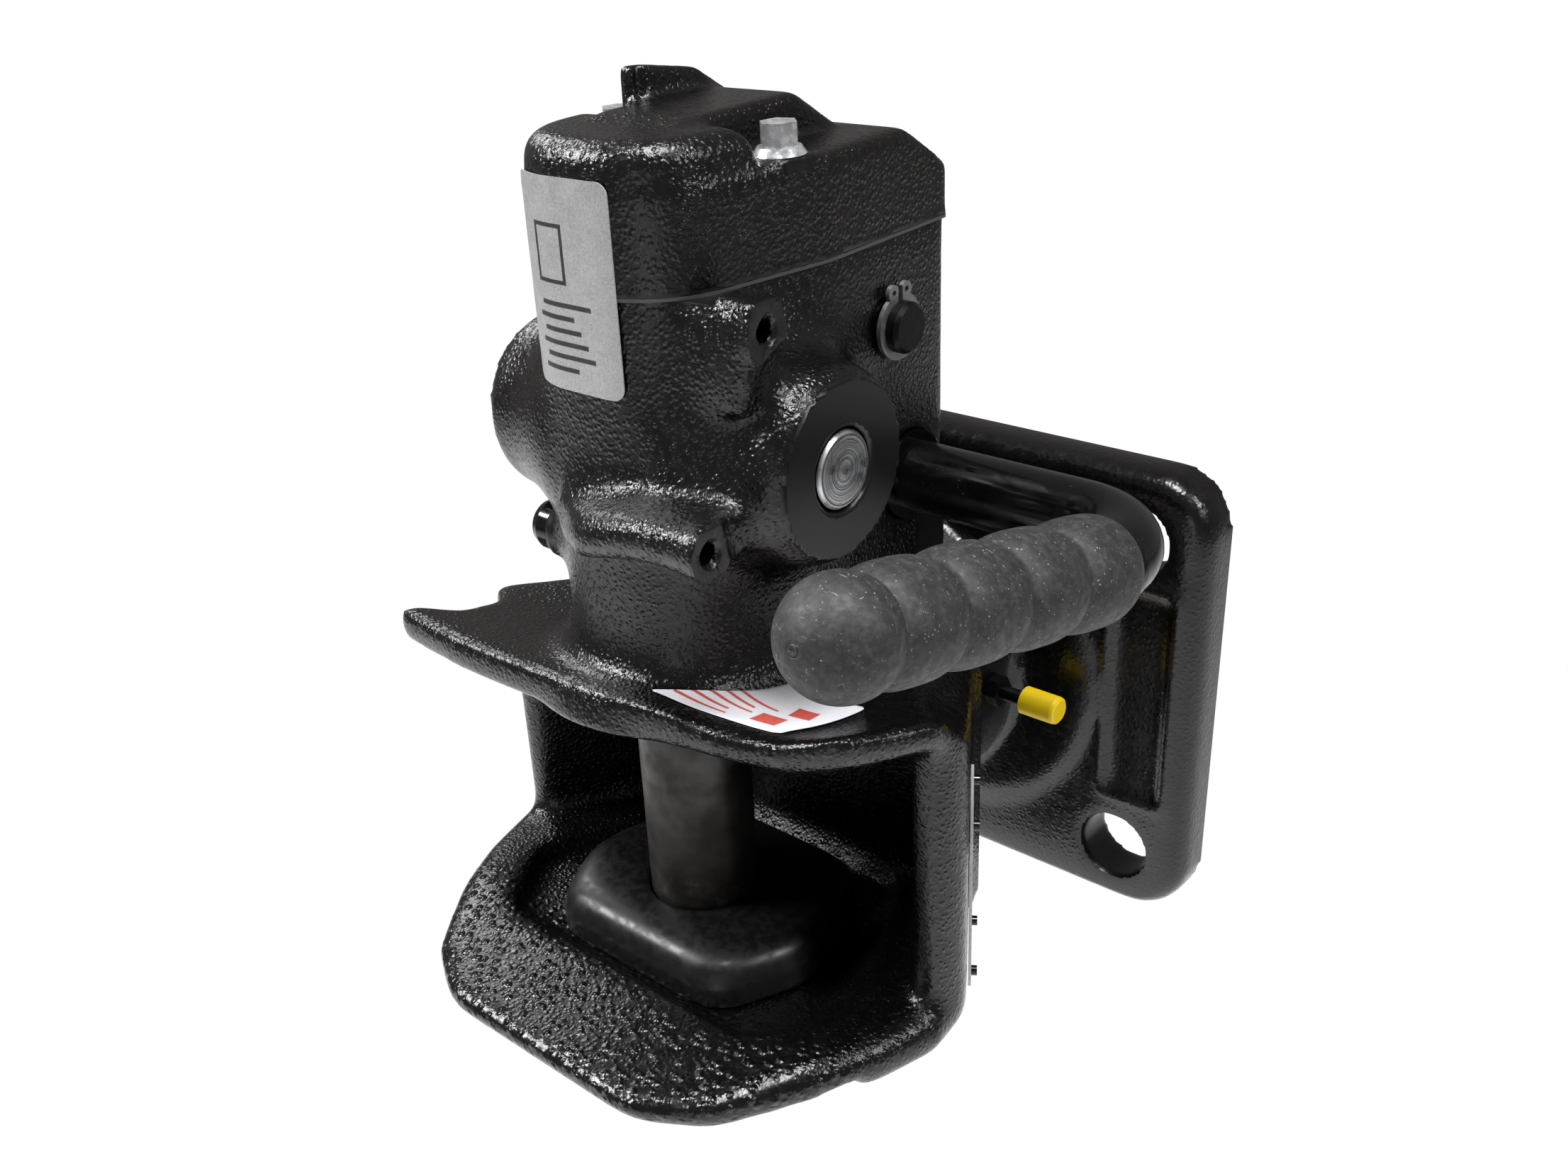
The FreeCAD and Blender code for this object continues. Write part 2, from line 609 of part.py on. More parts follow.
# Cover of the tower with its dome, block, notches, fin and rear slope
base_z = seam_z + gasket_t
shelf_z = seam_z + 25.5
dome_z = seam_z + 34.5
block_z = seam_z + 36
node("cover_gasket", cut(prism("Z", tower_plan, seam_z, base_z),
                         box(-19, 19, -pin_y, -tower_back - 6, seam_z - 1, base_z + 1),
                         cyl("Z", sleeve_r, seam_z - 1, base_z + 1, 0, -pin_y),
                         *[cyl("Z", 3.4, seam_z - 1, base_z + 1, side * bolt_x, bolt_y)
                           for side in (-1, 1)]))
cover_low = prism("Z", tower_plan, base_z, shelf_z)
cover_low = rounded(cover_low, 2.5, flat_at("z", shelf_z.value))
dome = prism("Z", both([(25.5, -tower_front, 23), (28.34, -101, 2)]), base_z + 2, dome_z)
dome = rounded(dome, 6.5, flat_at("z", dome_z.value))
block = prism("X", [(-116, shelf_z - 6), (-116, dome_z, 2), (-108, block_z, 2),
                    (-71, block_z, 2), (-56, shelf_z + 1), (-56, shelf_z - 6)], -15, 15)
block = rounded(block, 1.8, lambda e: e.BoundBox.ZMin > dome_z.value - 6
                and e.BoundBox.XMax - e.BoundBox.XMin < 0.01 and e.BoundBox.YMax < -57)
fin = prism("X", [(-99, shelf_z - 4), (-99, seam_z + 45, 2), (-75, seam_z + 41, 2),
                  (-62, seam_z + 33), (-62, shelf_z - 4)], -18, -13.5)
fin = cut(fin, box(-15.5, -13, -96.8, -93.6, dome_z - 3, seam_z + 50))
rear_cut = prism("X", [(-tower_back - 21, shelf_z + 16), (-tower_back - 21, shelf_z + 1),
                       (-tower_back + 1, seam_z + 12.5), (-tower_back + 1, shelf_z + 16)], -40, 40)
bolt_seat = shelf_z + 0.6
notches = [cyl("Z", 7.6, bolt_seat, seam_z + 60, side * bolt_x, bolt_y) for side in (-1, 1)]
seats = [cyl("Z", 8.2, base_z + 2, bolt_seat, side * bolt_x, bolt_y) for side in (-1, 1)]
seats = [common(one, prism("Z", tower_plan, base_z, bolt_seat + 1)) for one in seats]
hollow = fuse(prism("Z", both([(13, -126, 12), (19, -108, 6), (19, -50, 3)]),
                    base_z - 1, seam_z + 16),
              cyl("Z", pin_r + 1.5, base_z - 1, seam_z + 21, 0, -pin_y))
cover = cut(fuse(cover_low, dome, block, fin, *seats), rear_cut, hollow, *notches)
for side in (-1, 1):
    cover = cut(cover, cyl("Z", 3.4, base_z - 1, bolt_seat + 1, side * bolt_x, bolt_y))
node("top_cover", cover)


def cover_bolt(side):
    """A hexagon flange bolt through the cover into the tower wall."""
    x, y = side * bolt_x, bolt_y
    hexagon = [(x + 4.62 * math.cos(k * math.pi / 3 + 0.3), y + 4.62 * math.sin(k * math.pi / 3 + 0.3))
               for k in range(6)]
    return fuse(prism("Z", hexagon, bolt_seat + 1, bolt_seat + 7.2),
                cone("Z", 6.4, 5.2, bolt_seat, bolt_seat + 1.8, x, y),
                cyl("Z", 3, seam_z - 14, bolt_seat, x, y))


node("cover_bolts", group(cover_bolt(1), cover_bolt(-1)))

# Pin guides and the support plate of the jaw
guide = cut(cyl("Z", sleeve_r, roof_z, seam_z - 11, 0, -pin_y),
            cyl("Z", pin_r + pin_fit, roof_z - 1, seam_z, 0, -pin_y),
            box(-8, 8, -pin_y, -60, roof_z + 7, seam_z))
node("guide_sleeve", guide)
node("lower_bush", cut(cyl("Z", sleeve_r, -housing_low + 2, -floor_z - seat_deep, 0, -pin_y),
                       cyl("Z", pin_r + pin_fit, -housing_low, -floor_z + 1, 0, -pin_y)))
plate_plan = both([(31, -139.5, 14), (43, -114, 20), (37, -88, 14), (28, -72, 8)])
support = prism("Z", plate_plan, -floor_z - seat_deep, -floor_z + wear_t)
support = rounded(support, 4, flat_at("z", -floor_z.value + wear_t.value))
support = cut(support, cyl("Z", pin_r + pin_fit + 0.4, -floor_z - seat_deep - 1,
                           -floor_z + wear_t + 1, 0, -pin_y),
              cyl("Z", 3, -floor_z - seat_deep - 1, -floor_z + 3, 24, wear_bolt_y),
              cyl("Z", 3, -floor_z - seat_deep - 1, -floor_z + 3, -24, wear_bolt_y))
node("support_plate", support)


def wear_bolt(side):
    """A hexagon bolt that holds the support plate from below."""
    x = side * 24
    seat = -housing_low + 3
    hexagon = [(x + 5.77 * math.cos(k * math.pi / 3), wear_bolt_y + 5.77 * math.sin(k * math.pi / 3))
               for k in range(6)]
    return fuse(prism("Z", hexagon, seat - 4, seat),
                cyl("Z", 3, seat, -floor_z + 2, x, wear_bolt_y))


node("support_plate_bolts", group(wear_bolt(1), wear_bolt(-1)))

# Control plunger, its guide, and the plug of the other boss
node("plunger_guide", cut(cyl("X", guide_r, 19, guide_x, -boss_y, boss_z),
                          cyl("X", plunger_r + plunger_fit, 10, boss_x + 1, -boss_y, boss_z)))
node("control_plunger", turned("X", [(0, 0), (plunger_r - 1, 0), (plunger_r, 1),
                                     (plunger_r, 28.2), (plunger_r - 0.8, 29), (0, 29)],
                               boss_x - 29, -boss_y, boss_z))
node("boss_plug", turned("X", [(0, 0), (12, 0), (14, 2), (14, 9), (0, 9)],
                         -boss_x, -boss_y, boss_z))

# Coupling pin with the slot for the lifting arm
swing = math.degrees(math.asin(travel.value / 2 / (pin_y.value - lever_y.value)))
nose_z = lever_z - travel / 2
pin = turned("Z", [(0, 0), (pin_r - 4, 0), (pin_r - 1.5, 2.5), (pin_r, 6),
                   (pin_r, pin_top + pin_low - 2), (pin_r - 2, pin_top + pin_low),
                   (0, pin_top + pin_low)], -pin_low, 0, -pin_y)
slot_half = nose_r + nose_play
pin_slot = box(-8, 8, -pin_y - slot_past, -60, nose_z - slot_half, nose_z + slot_half)
node("coupling_pin", cut(pin, pin_slot))

# Lifting arm on the lever shaft, drawn with the pin lowered
reach = pin_y - lever_y
low = math.radians(-swing)
nose = (-lever_y - reach * math.cos(low), nose_z)
hub_r = lever_r + 3
arm_long = math.hypot(nose[0].value + lever_y.value, nose[1].value - lever_z.value)
arm_y = (nose[0].value + lever_y.value) / arm_long
arm_z = (nose[1].value - lever_z.value) / arm_long


def on_arm(out, up):
    """A point on the arm: out along it from the shaft, up across it."""
    return (-lever_y + out * arm_y + up * arm_z, lever_z + out * arm_z - up * arm_y)


arm_bar = prism("X", [on_arm(0, 9), on_arm(arm_long - 22, arm_end + 1), on_arm(arm_long, arm_end),
                      on_arm(arm_long, -arm_end), on_arm(arm_long - 22, -arm_end - 1), on_arm(0, -9)],
                -arm_t / 2, arm_t / 2)
arm = cut(fuse(cyl("X", hub_r, -arm_t / 2 - 4, arm_t / 2 + 4, -lever_y, lever_z), arm_bar,
               cyl("X", nose_r, -arm_t / 2, arm_t / 2, *nose)),
          cyl("X", lever_r, -20, 20, -lever_y, lever_z),
          cyl("Z", 2, lever_z - 30, lever_z + 30, 7.5, -lever_y))
node("lifting_arm", arm)
node("arm_roll_pin", cyl("Z", 2, lever_z - hub_r, lever_z + hub_r, 7.5, -lever_y))

# Hand lever bar: shaft, bend and handle part, along one centre line
bend_x = lever_x - bend_r
tilt = math.radians(grip_tilt.value)
shaft = cyl("X", lever_r, -24, bend_x, -lever_y, lever_z)
shaft = cut(shaft, cyl("Z", 2, lever_z - 30, lever_z + 30, 7.5, -lever_y))
elbow = doc.addObject("Part::Torus", "Elbow")
bind(elbow, "Radius1", bend_r)
bind(elbow, "Radius2", lever_r)
elbow.Angle3 = 90
put(elbow, bend_x, -lever_y - bend_r, lever_z)
yaw = math.radians(grip_yaw.value)
aim = V(-math.sin(yaw) * math.cos(tilt), -math.cos(yaw) * math.cos(tilt), math.sin(tilt))
along_grip = FreeCAD.Rotation(V(0, 0, 1), aim)
handle = cyl("Z", lever_r - 2.5, 0, grip_len - bend_r, 0, 0)
handle.Placement = FreeCAD.Placement(V(0, 0, 0), along_grip)
put(handle, lever_x, -lever_y - bend_r, lever_z)
knee = doc.addObject("Part::Sphere", "Knee")
bind(knee, "Radius", lever_r)
put(knee, lever_x, -lever_y - bend_r, lever_z)
node("lever_bar", fuse(shaft, elbow, handle, knee))

# Rubber grip: four swellings and a ball end, bored for the handle
start = 4
swells = 4
swell = (grip_len - bend_r - start) / swells
profile = [(lever_r - 2.5, size(8)), (lever_r + 0.3, size(8)), (lever_r + 0.3, size(0)),
           (grip_r - 2.6, size(0))]
for k in range(swells):
    profile.append((grip_r - 0.1, swell * (k + 0.28), 12))
    profile.append((grip_r - 0.1, swell * (k + 0.72), 12))
    profile.append((grip_r - 2.4, swell * (k + 1)))
ball_at = swell * swells + 6
for angle in range(-25, 90, 23):
    turn = math.radians(angle)
    profile.append((grip_r * math.cos(turn), ball_at + grip_r * math.sin(turn)))
profile.append((0, ball_at + grip_r))
profile.append((0, swell * swells))
profile.append((lever_r - 2.5, swell * swells))
sk = outline(profile)
sk.Placement = FreeCAD.Placement(V(0, 0, 0), FreeCAD.Rotation(V(1, 0, 0), 90))
grip = doc.addObject("Part::Revolution", "Turned")
grip.Source = sk
grip.Axis = V(0, 0, 1)
grip.Angle = 360
grip.Solid = True
grip.Placement = FreeCAD.Placement(V(0, 0, 0), along_grip)
put(grip, lever_x + start * aim.x, -lever_y - bend_r + start * aim.y, lever_z + start * aim.z)
node("lever_grip", grip)


def lever_bush_at(x0, x1):
    """A plain bush for the lever shaft in one side wall of the tower."""
    return cut(cyl("X", lever_r + lever_fit + lever_bush, x0, x1, -lever_y, lever_z),
               cyl("X", lever_r + lever_fit, x0 - 1, x1 + 1, -lever_y, lever_z))


node("lever_bushes", group(lever_bush_at(size(19), tower_w), lever_bush_at(size(-25), size(-19))))

# Catch pivot with its circlips, and the catch that holds the raised arm
end_x = tower_w + 5
pivot = fuse(cyl("X", pivot_r, -end_x + 1, end_x - 1, -pivot_y, pivot_z),
             cone("X", pivot_r - 1, pivot_r, -end_x, -end_x + 1, -pivot_y, pivot_z),
             cone("X", pivot_r, pivot_r - 1, end_x - 1, end_x, -pivot_y, pivot_z))
grooves = [cut(cyl("X", pivot_r + 1, side * (tower_w + 1) - 0.6, side * (tower_w + 1) + 0.6,
                   -pivot_y, pivot_z),
               cyl("X", pivot_r - 0.6, side * (tower_w + 1) - 2, side * (tower_w + 1) + 2,
                   -pivot_y, pivot_z)) for side in (-1, 1)]
node("pivot_pin", cut(pivot, *grooves))


def circlip(side):
    """An external circlip with its two eyes, in its groove."""
    x = side * (tower_w + 1)
    ring = cyl("X", pivot_r + 2, x - 0.6, x + 0.6, -pivot_y, pivot_z)
    eyes = [cyl("X", 2.1, x - 0.6, x + 0.6, -pivot_y + s * 2.6, pivot_z + pivot_r + 2.4)
            for s in (-1, 1)]
    holes_in = [cyl("X", 0.8, x - 1, x + 1, -pivot_y + s * 2.6, pivot_z + pivot_r + 2.4)
                for s in (-1, 1)]
    mouth = box(x - 1, x + 1, -pivot_y - 0.9, -pivot_y + 0.9, pivot_z, pivot_z + 14)
    return cut(fuse(ring, *eyes), cyl("X", pivot_r - 0.6, x - 1, x + 1, -pivot_y, pivot_z),
               mouth, *holes_in)


node("pivot_circlips", group(circlip(1), circlip(-1)))
catch_fit = 0.08
catch = fuse(cyl("X", 9.5, -9, 9, -pivot_y, pivot_z),
             prism("X", [(-pivot_y - 9, pivot_z - 2), (-pivot_y - 17, pivot_z - 9, 2),
                         (-pivot_y - 14, pivot_z - 13, 2), (-pivot_y + 2, pivot_z - 8)], -5, 5))
node("catch", cut(catch, cyl("X", pivot_r + catch_fit, -20, 20, -pivot_y, pivot_z)))

# Plug on the left side, type plate with rivets, and blank stickers
node("side_plug", turned("X", [(0, 0), (2.4, 0.3), (4.6, 1.3), (6.2, 3), (7, 5.2), (7, 9), (0, 9)],
                         -42, -pin_y - 10, lever_z - 7))
skin = 0.25
skin_plan = both([(25.5 + skin, -tower_front - skin, 23 + skin), (tower_w + skin, -83, 25),
                  (tower_w - 2 + skin, -tower_back, 3)])
sticker = common(cut(prism("Z", skin_plan, seam_z - 28, seam_z + 28),
                     prism("Z", tower_plan, seam_z - 30, seam_z + 30)),
                 prism("Y", [(-19.5, seam_z - 23.5, 3), (12.5, seam_z - 23.5, 3),
                             (12.5, seam_z + 26.5, 3), (-19.5, seam_z + 26.5, 3)], -140, -116))
node("front_sticker", sticker)
lip_film = cut(prism("X", lip_skin(skin), 10, 60), prism("X", lip_skin(0), 8, 62))
node("lip_sticker", common(lip_film, prism("Z", [(17, -134.5), (51.5, -131.5), (55, -104),
                                                 (34, -106), (29.5, -121)], roof_z, lip_top + 20)))
plate_turn = 56.3
type_plate = box(0, 28, 0, 0.8, -58, -4)
type_plate.Placement = FreeCAD.Placement(V(0, 0, 0), FreeCAD.Rotation(V(0, 0, 1), -plate_turn))
put(type_plate, 61.1, -62.6, -58)
rivets = []
for along, up in ((3, -55), (25, -55), (3, -7), (25, -7)):
    rivet = cyl("Z", 1.4, 0, 2.4, 0, 0)
    turn = math.radians(-plate_turn)
    rivet.Placement = FreeCAD.Placement(
        V(61.1 + along * math.cos(turn), -62.6 + along * math.sin(turn), up),
        FreeCAD.Rotation(V(0, 0, 1), -plate_turn).multiply(FreeCAD.Rotation(V(1, 0, 0), -90)))
    rivets.append(rivet)
node("type_plate", cut(type_plate, *rivets))
node("type_plate_rivets", group(*rivets))
doc.recompute()

os.makedirs("parts", exist_ok=True)
for obj in doc.Objects:
    bad = [flag for flag in obj.State if flag in ("Invalid", "Error")]
    if bad:
        raise RuntimeError("%s (%s) did not compute" % (obj.Label, obj.TypeId))
for obj in nodes:
    if obj.Shape.isNull() or not obj.Shape.isValid():
        raise RuntimeError(obj.Label + " has no sound shape")
    obj.Shape.exportStep("parts/%s.step" % obj.Label)
    print(obj.Label, len(obj.Shape.Solids), round(obj.Shape.Volume))
print("pieces:", len(nodes))
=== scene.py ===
import math
import bmesh
import bpy
import numpy as np
from mathutils import Matrix, Vector


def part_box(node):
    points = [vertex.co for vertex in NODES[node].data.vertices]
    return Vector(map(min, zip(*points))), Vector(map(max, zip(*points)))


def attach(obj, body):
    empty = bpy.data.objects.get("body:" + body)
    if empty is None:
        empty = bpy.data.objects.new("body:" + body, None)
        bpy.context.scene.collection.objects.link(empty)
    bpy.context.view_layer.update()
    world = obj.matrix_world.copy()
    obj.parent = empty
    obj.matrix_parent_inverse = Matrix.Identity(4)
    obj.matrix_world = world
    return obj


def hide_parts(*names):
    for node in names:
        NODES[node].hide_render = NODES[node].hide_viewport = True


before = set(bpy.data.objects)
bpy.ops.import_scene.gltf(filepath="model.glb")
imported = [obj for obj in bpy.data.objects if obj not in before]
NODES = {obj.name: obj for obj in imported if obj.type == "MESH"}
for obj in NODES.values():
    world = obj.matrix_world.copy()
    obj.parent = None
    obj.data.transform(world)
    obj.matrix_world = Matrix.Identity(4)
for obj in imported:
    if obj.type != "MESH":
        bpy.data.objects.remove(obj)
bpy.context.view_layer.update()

MM = 0.001

# Places and sizes of the solids that the looks need, in millimetres

BOSS = (-102.0, 93.5)            # y and z of the control bosses' axis
BOSS_FACE = 50.9                 # where their machined faces are cut
BOSS_FLAT = 22.0                 # radius of the flat inside the rounded rim
BORE_R = 10.2                    # bore round the plunger
LUG_RING = 41.5                  # circle of the tapped lugs round the right boss
LUG_FACE = 44.85
THREAD_R = 2.5
PIN_Y = -108.0                   # axis of the coupling pin
TOWER_HALF = 33.0
TOWER_FRONT = -135.0
JOINT_Z = 136.0                  # joint face between tower and cover
LEVER_AXIS = (-50.0, 71.0)
CROSS_PIN = (-57.5, 114.0)
SIDE_PLUG = (-118.0, 64.0)
COVER_BOLT = (25.8, -91.5)
HOLE_X, HOLE_Z = 80.0, 50.0      # bolt holes of the flange


def on_lug_ring(degrees):
    """A lug's centre on its circle, as (y, z)."""
    angle = math.radians(degrees)
    return BOSS[0] + LUG_RING * math.cos(angle), BOSS[1] + LUG_RING * math.sin(angle)


LUGS = [on_lug_ring(116), on_lug_ring(191)]
RIB_Z = 85.6                     # the lower lug's round bar runs along X at this height
BAR_R = 9.6


# Colours and materials

def linear(code):
    """An sRGB hex colour as linear red, green, blue and alpha."""
    parts = [int(code[i:i + 2], 16) / 255 for i in (1, 3, 5)]
    return [c / 12.92 if c <= 0.04045 else ((c + 0.055) / 1.055) ** 2.4 for c in parts] + [1.0]


class Finish:
    """A material under construction: its tree, its shader and its coordinates in millimetres."""

    def __init__(self, name, colour, roughness, metallic=0.0):
        self.mat = bpy.data.materials.new(name)
        self.mat.use_nodes = True
        self.tree = self.mat.node_tree
        self.tree.nodes.clear()
        self.out = self.add("ShaderNodeOutputMaterial")
        self.shader = self.add("ShaderNodeBsdfPrincipled")
        self.link(self.shader, "BSDF", self.out, "Surface")
        self.shader.inputs["Base Color"].default_value = linear(colour)
        self.shader.inputs["Roughness"].default_value = roughness
        self.shader.inputs["Metallic"].default_value = metallic
        where = self.add("ShaderNodeTexCoord")
        scale = self.add("ShaderNodeVectorMath", operation="SCALE")
        scale.inputs["Scale"].default_value = 1000.0
        self.link(where, "Object", scale, 0)
        self.mm = (scale, "Vector")
        self.normal = None

    def add(self, kind, **values):
        """One node, with its settings."""
        node = self.tree.nodes.new(kind)
        for key, value in values.items():
            setattr(node, key, value)
        return node

    def link(self, a, a_socket, b, b_socket):
        """Join an output to an input."""
        self.tree.links.new(a.outputs[a_socket], b.inputs[b_socket])

    def noise(self, size_mm, detail=3.0, rough=0.55, stretch=None):
        """Noise whose cells are about size_mm across, optionally stretched along an axis."""
        node = self.add("ShaderNodeTexNoise")
        node.inputs["Scale"].default_value = 1.0 / size_mm
        node.inputs["Detail"].default_value = detail
        node.inputs["Roughness"].default_value = rough
        source = self.mm
        if stretch:
            pull = self.add("ShaderNodeVectorMath", operation="MULTIPLY")
            pull.inputs[1].default_value = stretch
            self.link(*source, pull, 0)
            source = (pull, "Vector")
        self.link(*source, node, "Vector")
        return (node, "Fac")

    def trait(self, name):
        """A number that the piece itself carries at each point."""
        return (self.add("ShaderNodeAttribute", attribute_name=name), "Fac")

    def times(self, a, b):
        """Two values multiplied."""
        node = self.add("ShaderNodeMath", operation="MULTIPLY")
        self.link(*a, node, 0)
        self.link(*b, node, 1)
        return (node, "Value")

    def most(self, *values):
        """The largest of several values."""
        top = values[0]
        for other in values[1:]:
            node = self.add("ShaderNodeMath", operation="MAXIMUM")
            self.link(*top, node, 0)
            self.link(*other, node, 1)
            top = (node, "Value")
        return top

    def along(self, direction, origin=(0, 0, 0)):
        """The distance in millimetres from a point along a direction."""
        shift = self.add("ShaderNodeVectorMath", operation="SUBTRACT")
        shift.inputs[1].default_value = origin
        self.link(*self.mm, shift, 0)
        node = self.add("ShaderNodeVectorMath", operation="DOT_PRODUCT")
        node.inputs[1].default_value = direction
        self.link(shift, "Vector", node, 0)
        return (node, "Value")

    def band(self, value, low, high, soft=0.12):
        """One between two values, zero outside, with a soft border."""
        rise = self.ramp(value, low - soft, low + soft)
        fall = self.ramp(value, high - soft, high + soft, 1.0, 0.0)
        return self.times(rise, fall)

    def cells(self, size_mm, feature="F1"):
        """Distance to scattered points about size_mm apart."""
        node = self.add("ShaderNodeTexVoronoi", feature=feature)
        node.inputs["Scale"].default_value = 1.0 / size_mm
        if feature == "SMOOTH_F1":
            node.inputs["Smoothness"].default_value = 0.35
        self.link(*self.mm, node, "Vector")
        return (node, "Distance")

    def ramp(self, source, low, high, a=0.0, b=1.0):
        """A value mapped from low..high to a..b, smoothly."""
        node = self.add("ShaderNodeMapRange", interpolation_type="SMOOTHSTEP")
        node.inputs["From Min"].default_value = low
        node.inputs["From Max"].default_value = high
        node.inputs["To Min"].default_value = a
        node.inputs["To Max"].default_value = b
        self.link(*source, node, "Value")
        return (node, "Result")

    def tint(self, mask, colour, other):
        """Base colour that goes from one to another with a mask."""
        node = self.add("ShaderNodeMix", data_type="RGBA")
        node.inputs[6].default_value = linear(colour)
        node.inputs[7].default_value = linear(other)
        self.link(*mask, node, 0)
        self.link(node, 2, self.shader, "Base Color")
        return (node, 2)

    def rough(self, mask, low, high):
        """Roughness between two values by a mask."""
        self.link(*self.ramp(mask, 0.0, 1.0, low, high), self.shader, "Roughness")

    def bump(self, source, depth_mm, strength=1.0, where=None):
        """One more layer of relief, as strong as a mask says."""
        node = self.add("ShaderNodeBump")
        node.inputs["Strength"].default_value = strength
        if where:
            self.link(*self.ramp(where, 0.0, 1.0, 0.0, strength), node, "Strength")
        node.inputs["Distance"].default_value = depth_mm * MM
        self.link(*source, node, "Height")
        if self.normal:
            self.link(*self.normal, node, "Normal")
        self.normal = (node, "Normal")
        self.link(node, "Normal", self.shader, "Normal")


def cast_paint():
    """Thick black paint over a sand-cast skin: tight glints on fine grain, round pebbles on the lower lip,
    a smoother satin where the casting was machined before painting."""
    f = Finish("black paint on sand casting", "#080707", 0.26)
    grain, pebble, flat = f.trait("grain"), f.trait("pebble"), f.trait("machined")
    f.bump(f.noise(4.0, 2.0), 0.18, 0.5, grain)
    f.bump(f.ramp(f.cells(1.35, "SMOOTH_F1"), 0.6, 0.05), 0.2, 0.8, grain)
    f.bump(f.noise(0.85, 3.0, 0.6), 0.2, 0.8, grain)
    f.bump(f.ramp(f.cells(2.6, "SMOOTH_F1"), 0.55, 0.05), 0.4, 0.9, pebble)
    f.bump(f.noise(0.5, 2.0), 0.012, 0.4, flat)
    f.link(*f.most(f.ramp(f.noise(3.0, 4.0), 0.3, 0.72, 0.17, 0.3), f.ramp(flat, 0.2, 0.9, 0.0, 0.34)),
           f.shader, "Roughness")
    dust = f.times(f.ramp(f.noise(0.8, 2.0), 0.7, 0.78), f.ramp(f.noise(14.0, 3.0), 0.5, 0.75))
    f.tint(dust, "#080707", "#4a4642")
    return f.mat


def gloss_paint():
    """Smooth gloss black paint with faint orange peel and dust."""
    f = Finish("gloss black paint on steel", "#070708", 0.16)
    f.bump(f.noise(4.0, 2.0), 0.06, 0.35)
    f.rough(f.ramp(f.noise(9.0, 5.0), 0.35, 0.7), 0.1, 0.26)
    dust = f.times(f.ramp(f.noise(0.6, 2.0), 0.68, 0.76), f.ramp(f.noise(11.0, 3.0), 0.45, 0.65))
    f.tint(dust, "#070708", "#5b5752")
    return f.mat


def turned_steel(name, axis_point, colour):
    """Bare turned steel: rings round an axis along X through a point given as (y, z) in millimetres."""
    f = Finish(name, colour, 0.28, 1.0)
    shift = f.add("ShaderNodeVectorMath", operation="SUBTRACT")
    shift.inputs[1].default_value = (0, axis_point[0], axis_point[1])
    f.link(*f.mm, shift, 0)
    flat = f.add("ShaderNodeVectorMath", operation="MULTIPLY")
    flat.inputs[1].default_value = (0, 1, 1)
    f.link(shift, "Vector", flat, 0)
    length = f.add("ShaderNodeVectorMath", operation="LENGTH")
    f.link(flat, "Vector", length, 0)
    ring = f.add("ShaderNodeTexNoise", noise_dimensions="1D")
    ring.inputs["Scale"].default_value = 1.6
    ring.inputs["Detail"].default_value = 4.0
    f.link(length, "Value", ring, "W")
    f.bump((ring, "Fac"), 0.14, 0.9)
    f.rough(f.ramp(f.noise(2.5, 4.0), 0.3, 0.7), 0.26, 0.4)
    f.tint(f.ramp((ring, "Fac"), 0.35, 0.65), colour, "#86888b")
    return f.mat


def zinc():
    """Bright zinc with faint cloudy patches."""
    f = Finish("bright zinc plating", "#cfd1d3", 0.24, 0.65)
    f.bump(f.noise(0.6, 3.0), 0.03, 0.5)
    f.rough(f.ramp(f.noise(1.6, 4.0), 0.3, 0.7), 0.16, 0.36)
    f.tint(f.ramp(f.noise(3.0, 3.0), 0.3, 0.7), "#d6d8da", "#a7a9ac")
    return f.mat


def oxide(name, colour="#151517", metallic=0.75):
    """Black oxide steel, slightly oily."""
    f = Finish(name, colour, 0.38, metallic)
    f.bump(f.noise(0.5, 3.0), 0.03, 0.5)
    f.rough(f.ramp(f.noise(2.0, 4.0), 0.3, 0.7), 0.3, 0.5)
    return f.mat


def pin_steel():
    """Dark hardened pin: blotchy grey skin, fine vertical drawing, worn bright spots near the foot."""
    f = Finish("dark hardened steel", "#494745", 0.4, 0.8)
    f.bump(f.noise(0.4, 3.0, 0.6, (1, 1, 0.05)), 0.012, 0.5)
    f.bump(f.noise(7.0, 4.0), 0.08, 0.3)
    f.rough(f.ramp(f.noise(6.0, 5.0), 0.3, 0.7), 0.34, 0.5)
    low = f.ramp(f.along((0, 0, 1)), -44.0, -22.0, 1.0, 0.0)
    stain = f.times(f.ramp(f.noise(5.0, 5.0, 0.6), 0.52, 0.66), low)
    scuff = f.times(f.ramp(f.noise(2.6, 4.0, 0.7, (1, 1, 3)), 0.66, 0.72), low)
    base = f.tint(f.ramp(f.noise(16.0, 3.0), 0.35, 0.7), "#353331", "#4a4846")
    worn = f.add("ShaderNodeMix", data_type="RGBA")
    worn.inputs[7].default_value = linear("#7f776c")
    f.link(*f.most(scuff, f.ramp(stain, 0.0, 1.0, 0.0, 0.4)), worn, 0)
    f.link(*base, worn, 6)
    f.link(worn, 2, f.shader, "Base Color")
    return f.mat


def bronze():
    """Plain turned bronze."""
    f = Finish("turned bronze", "#a8783c", 0.34, 1.0)
    f.bump(f.noise(0.3, 2.0), 0.02, 0.5)
    f.rough(f.ramp(f.noise(2.0, 3.0), 0.3, 0.7), 0.26, 0.42)
    return f.mat


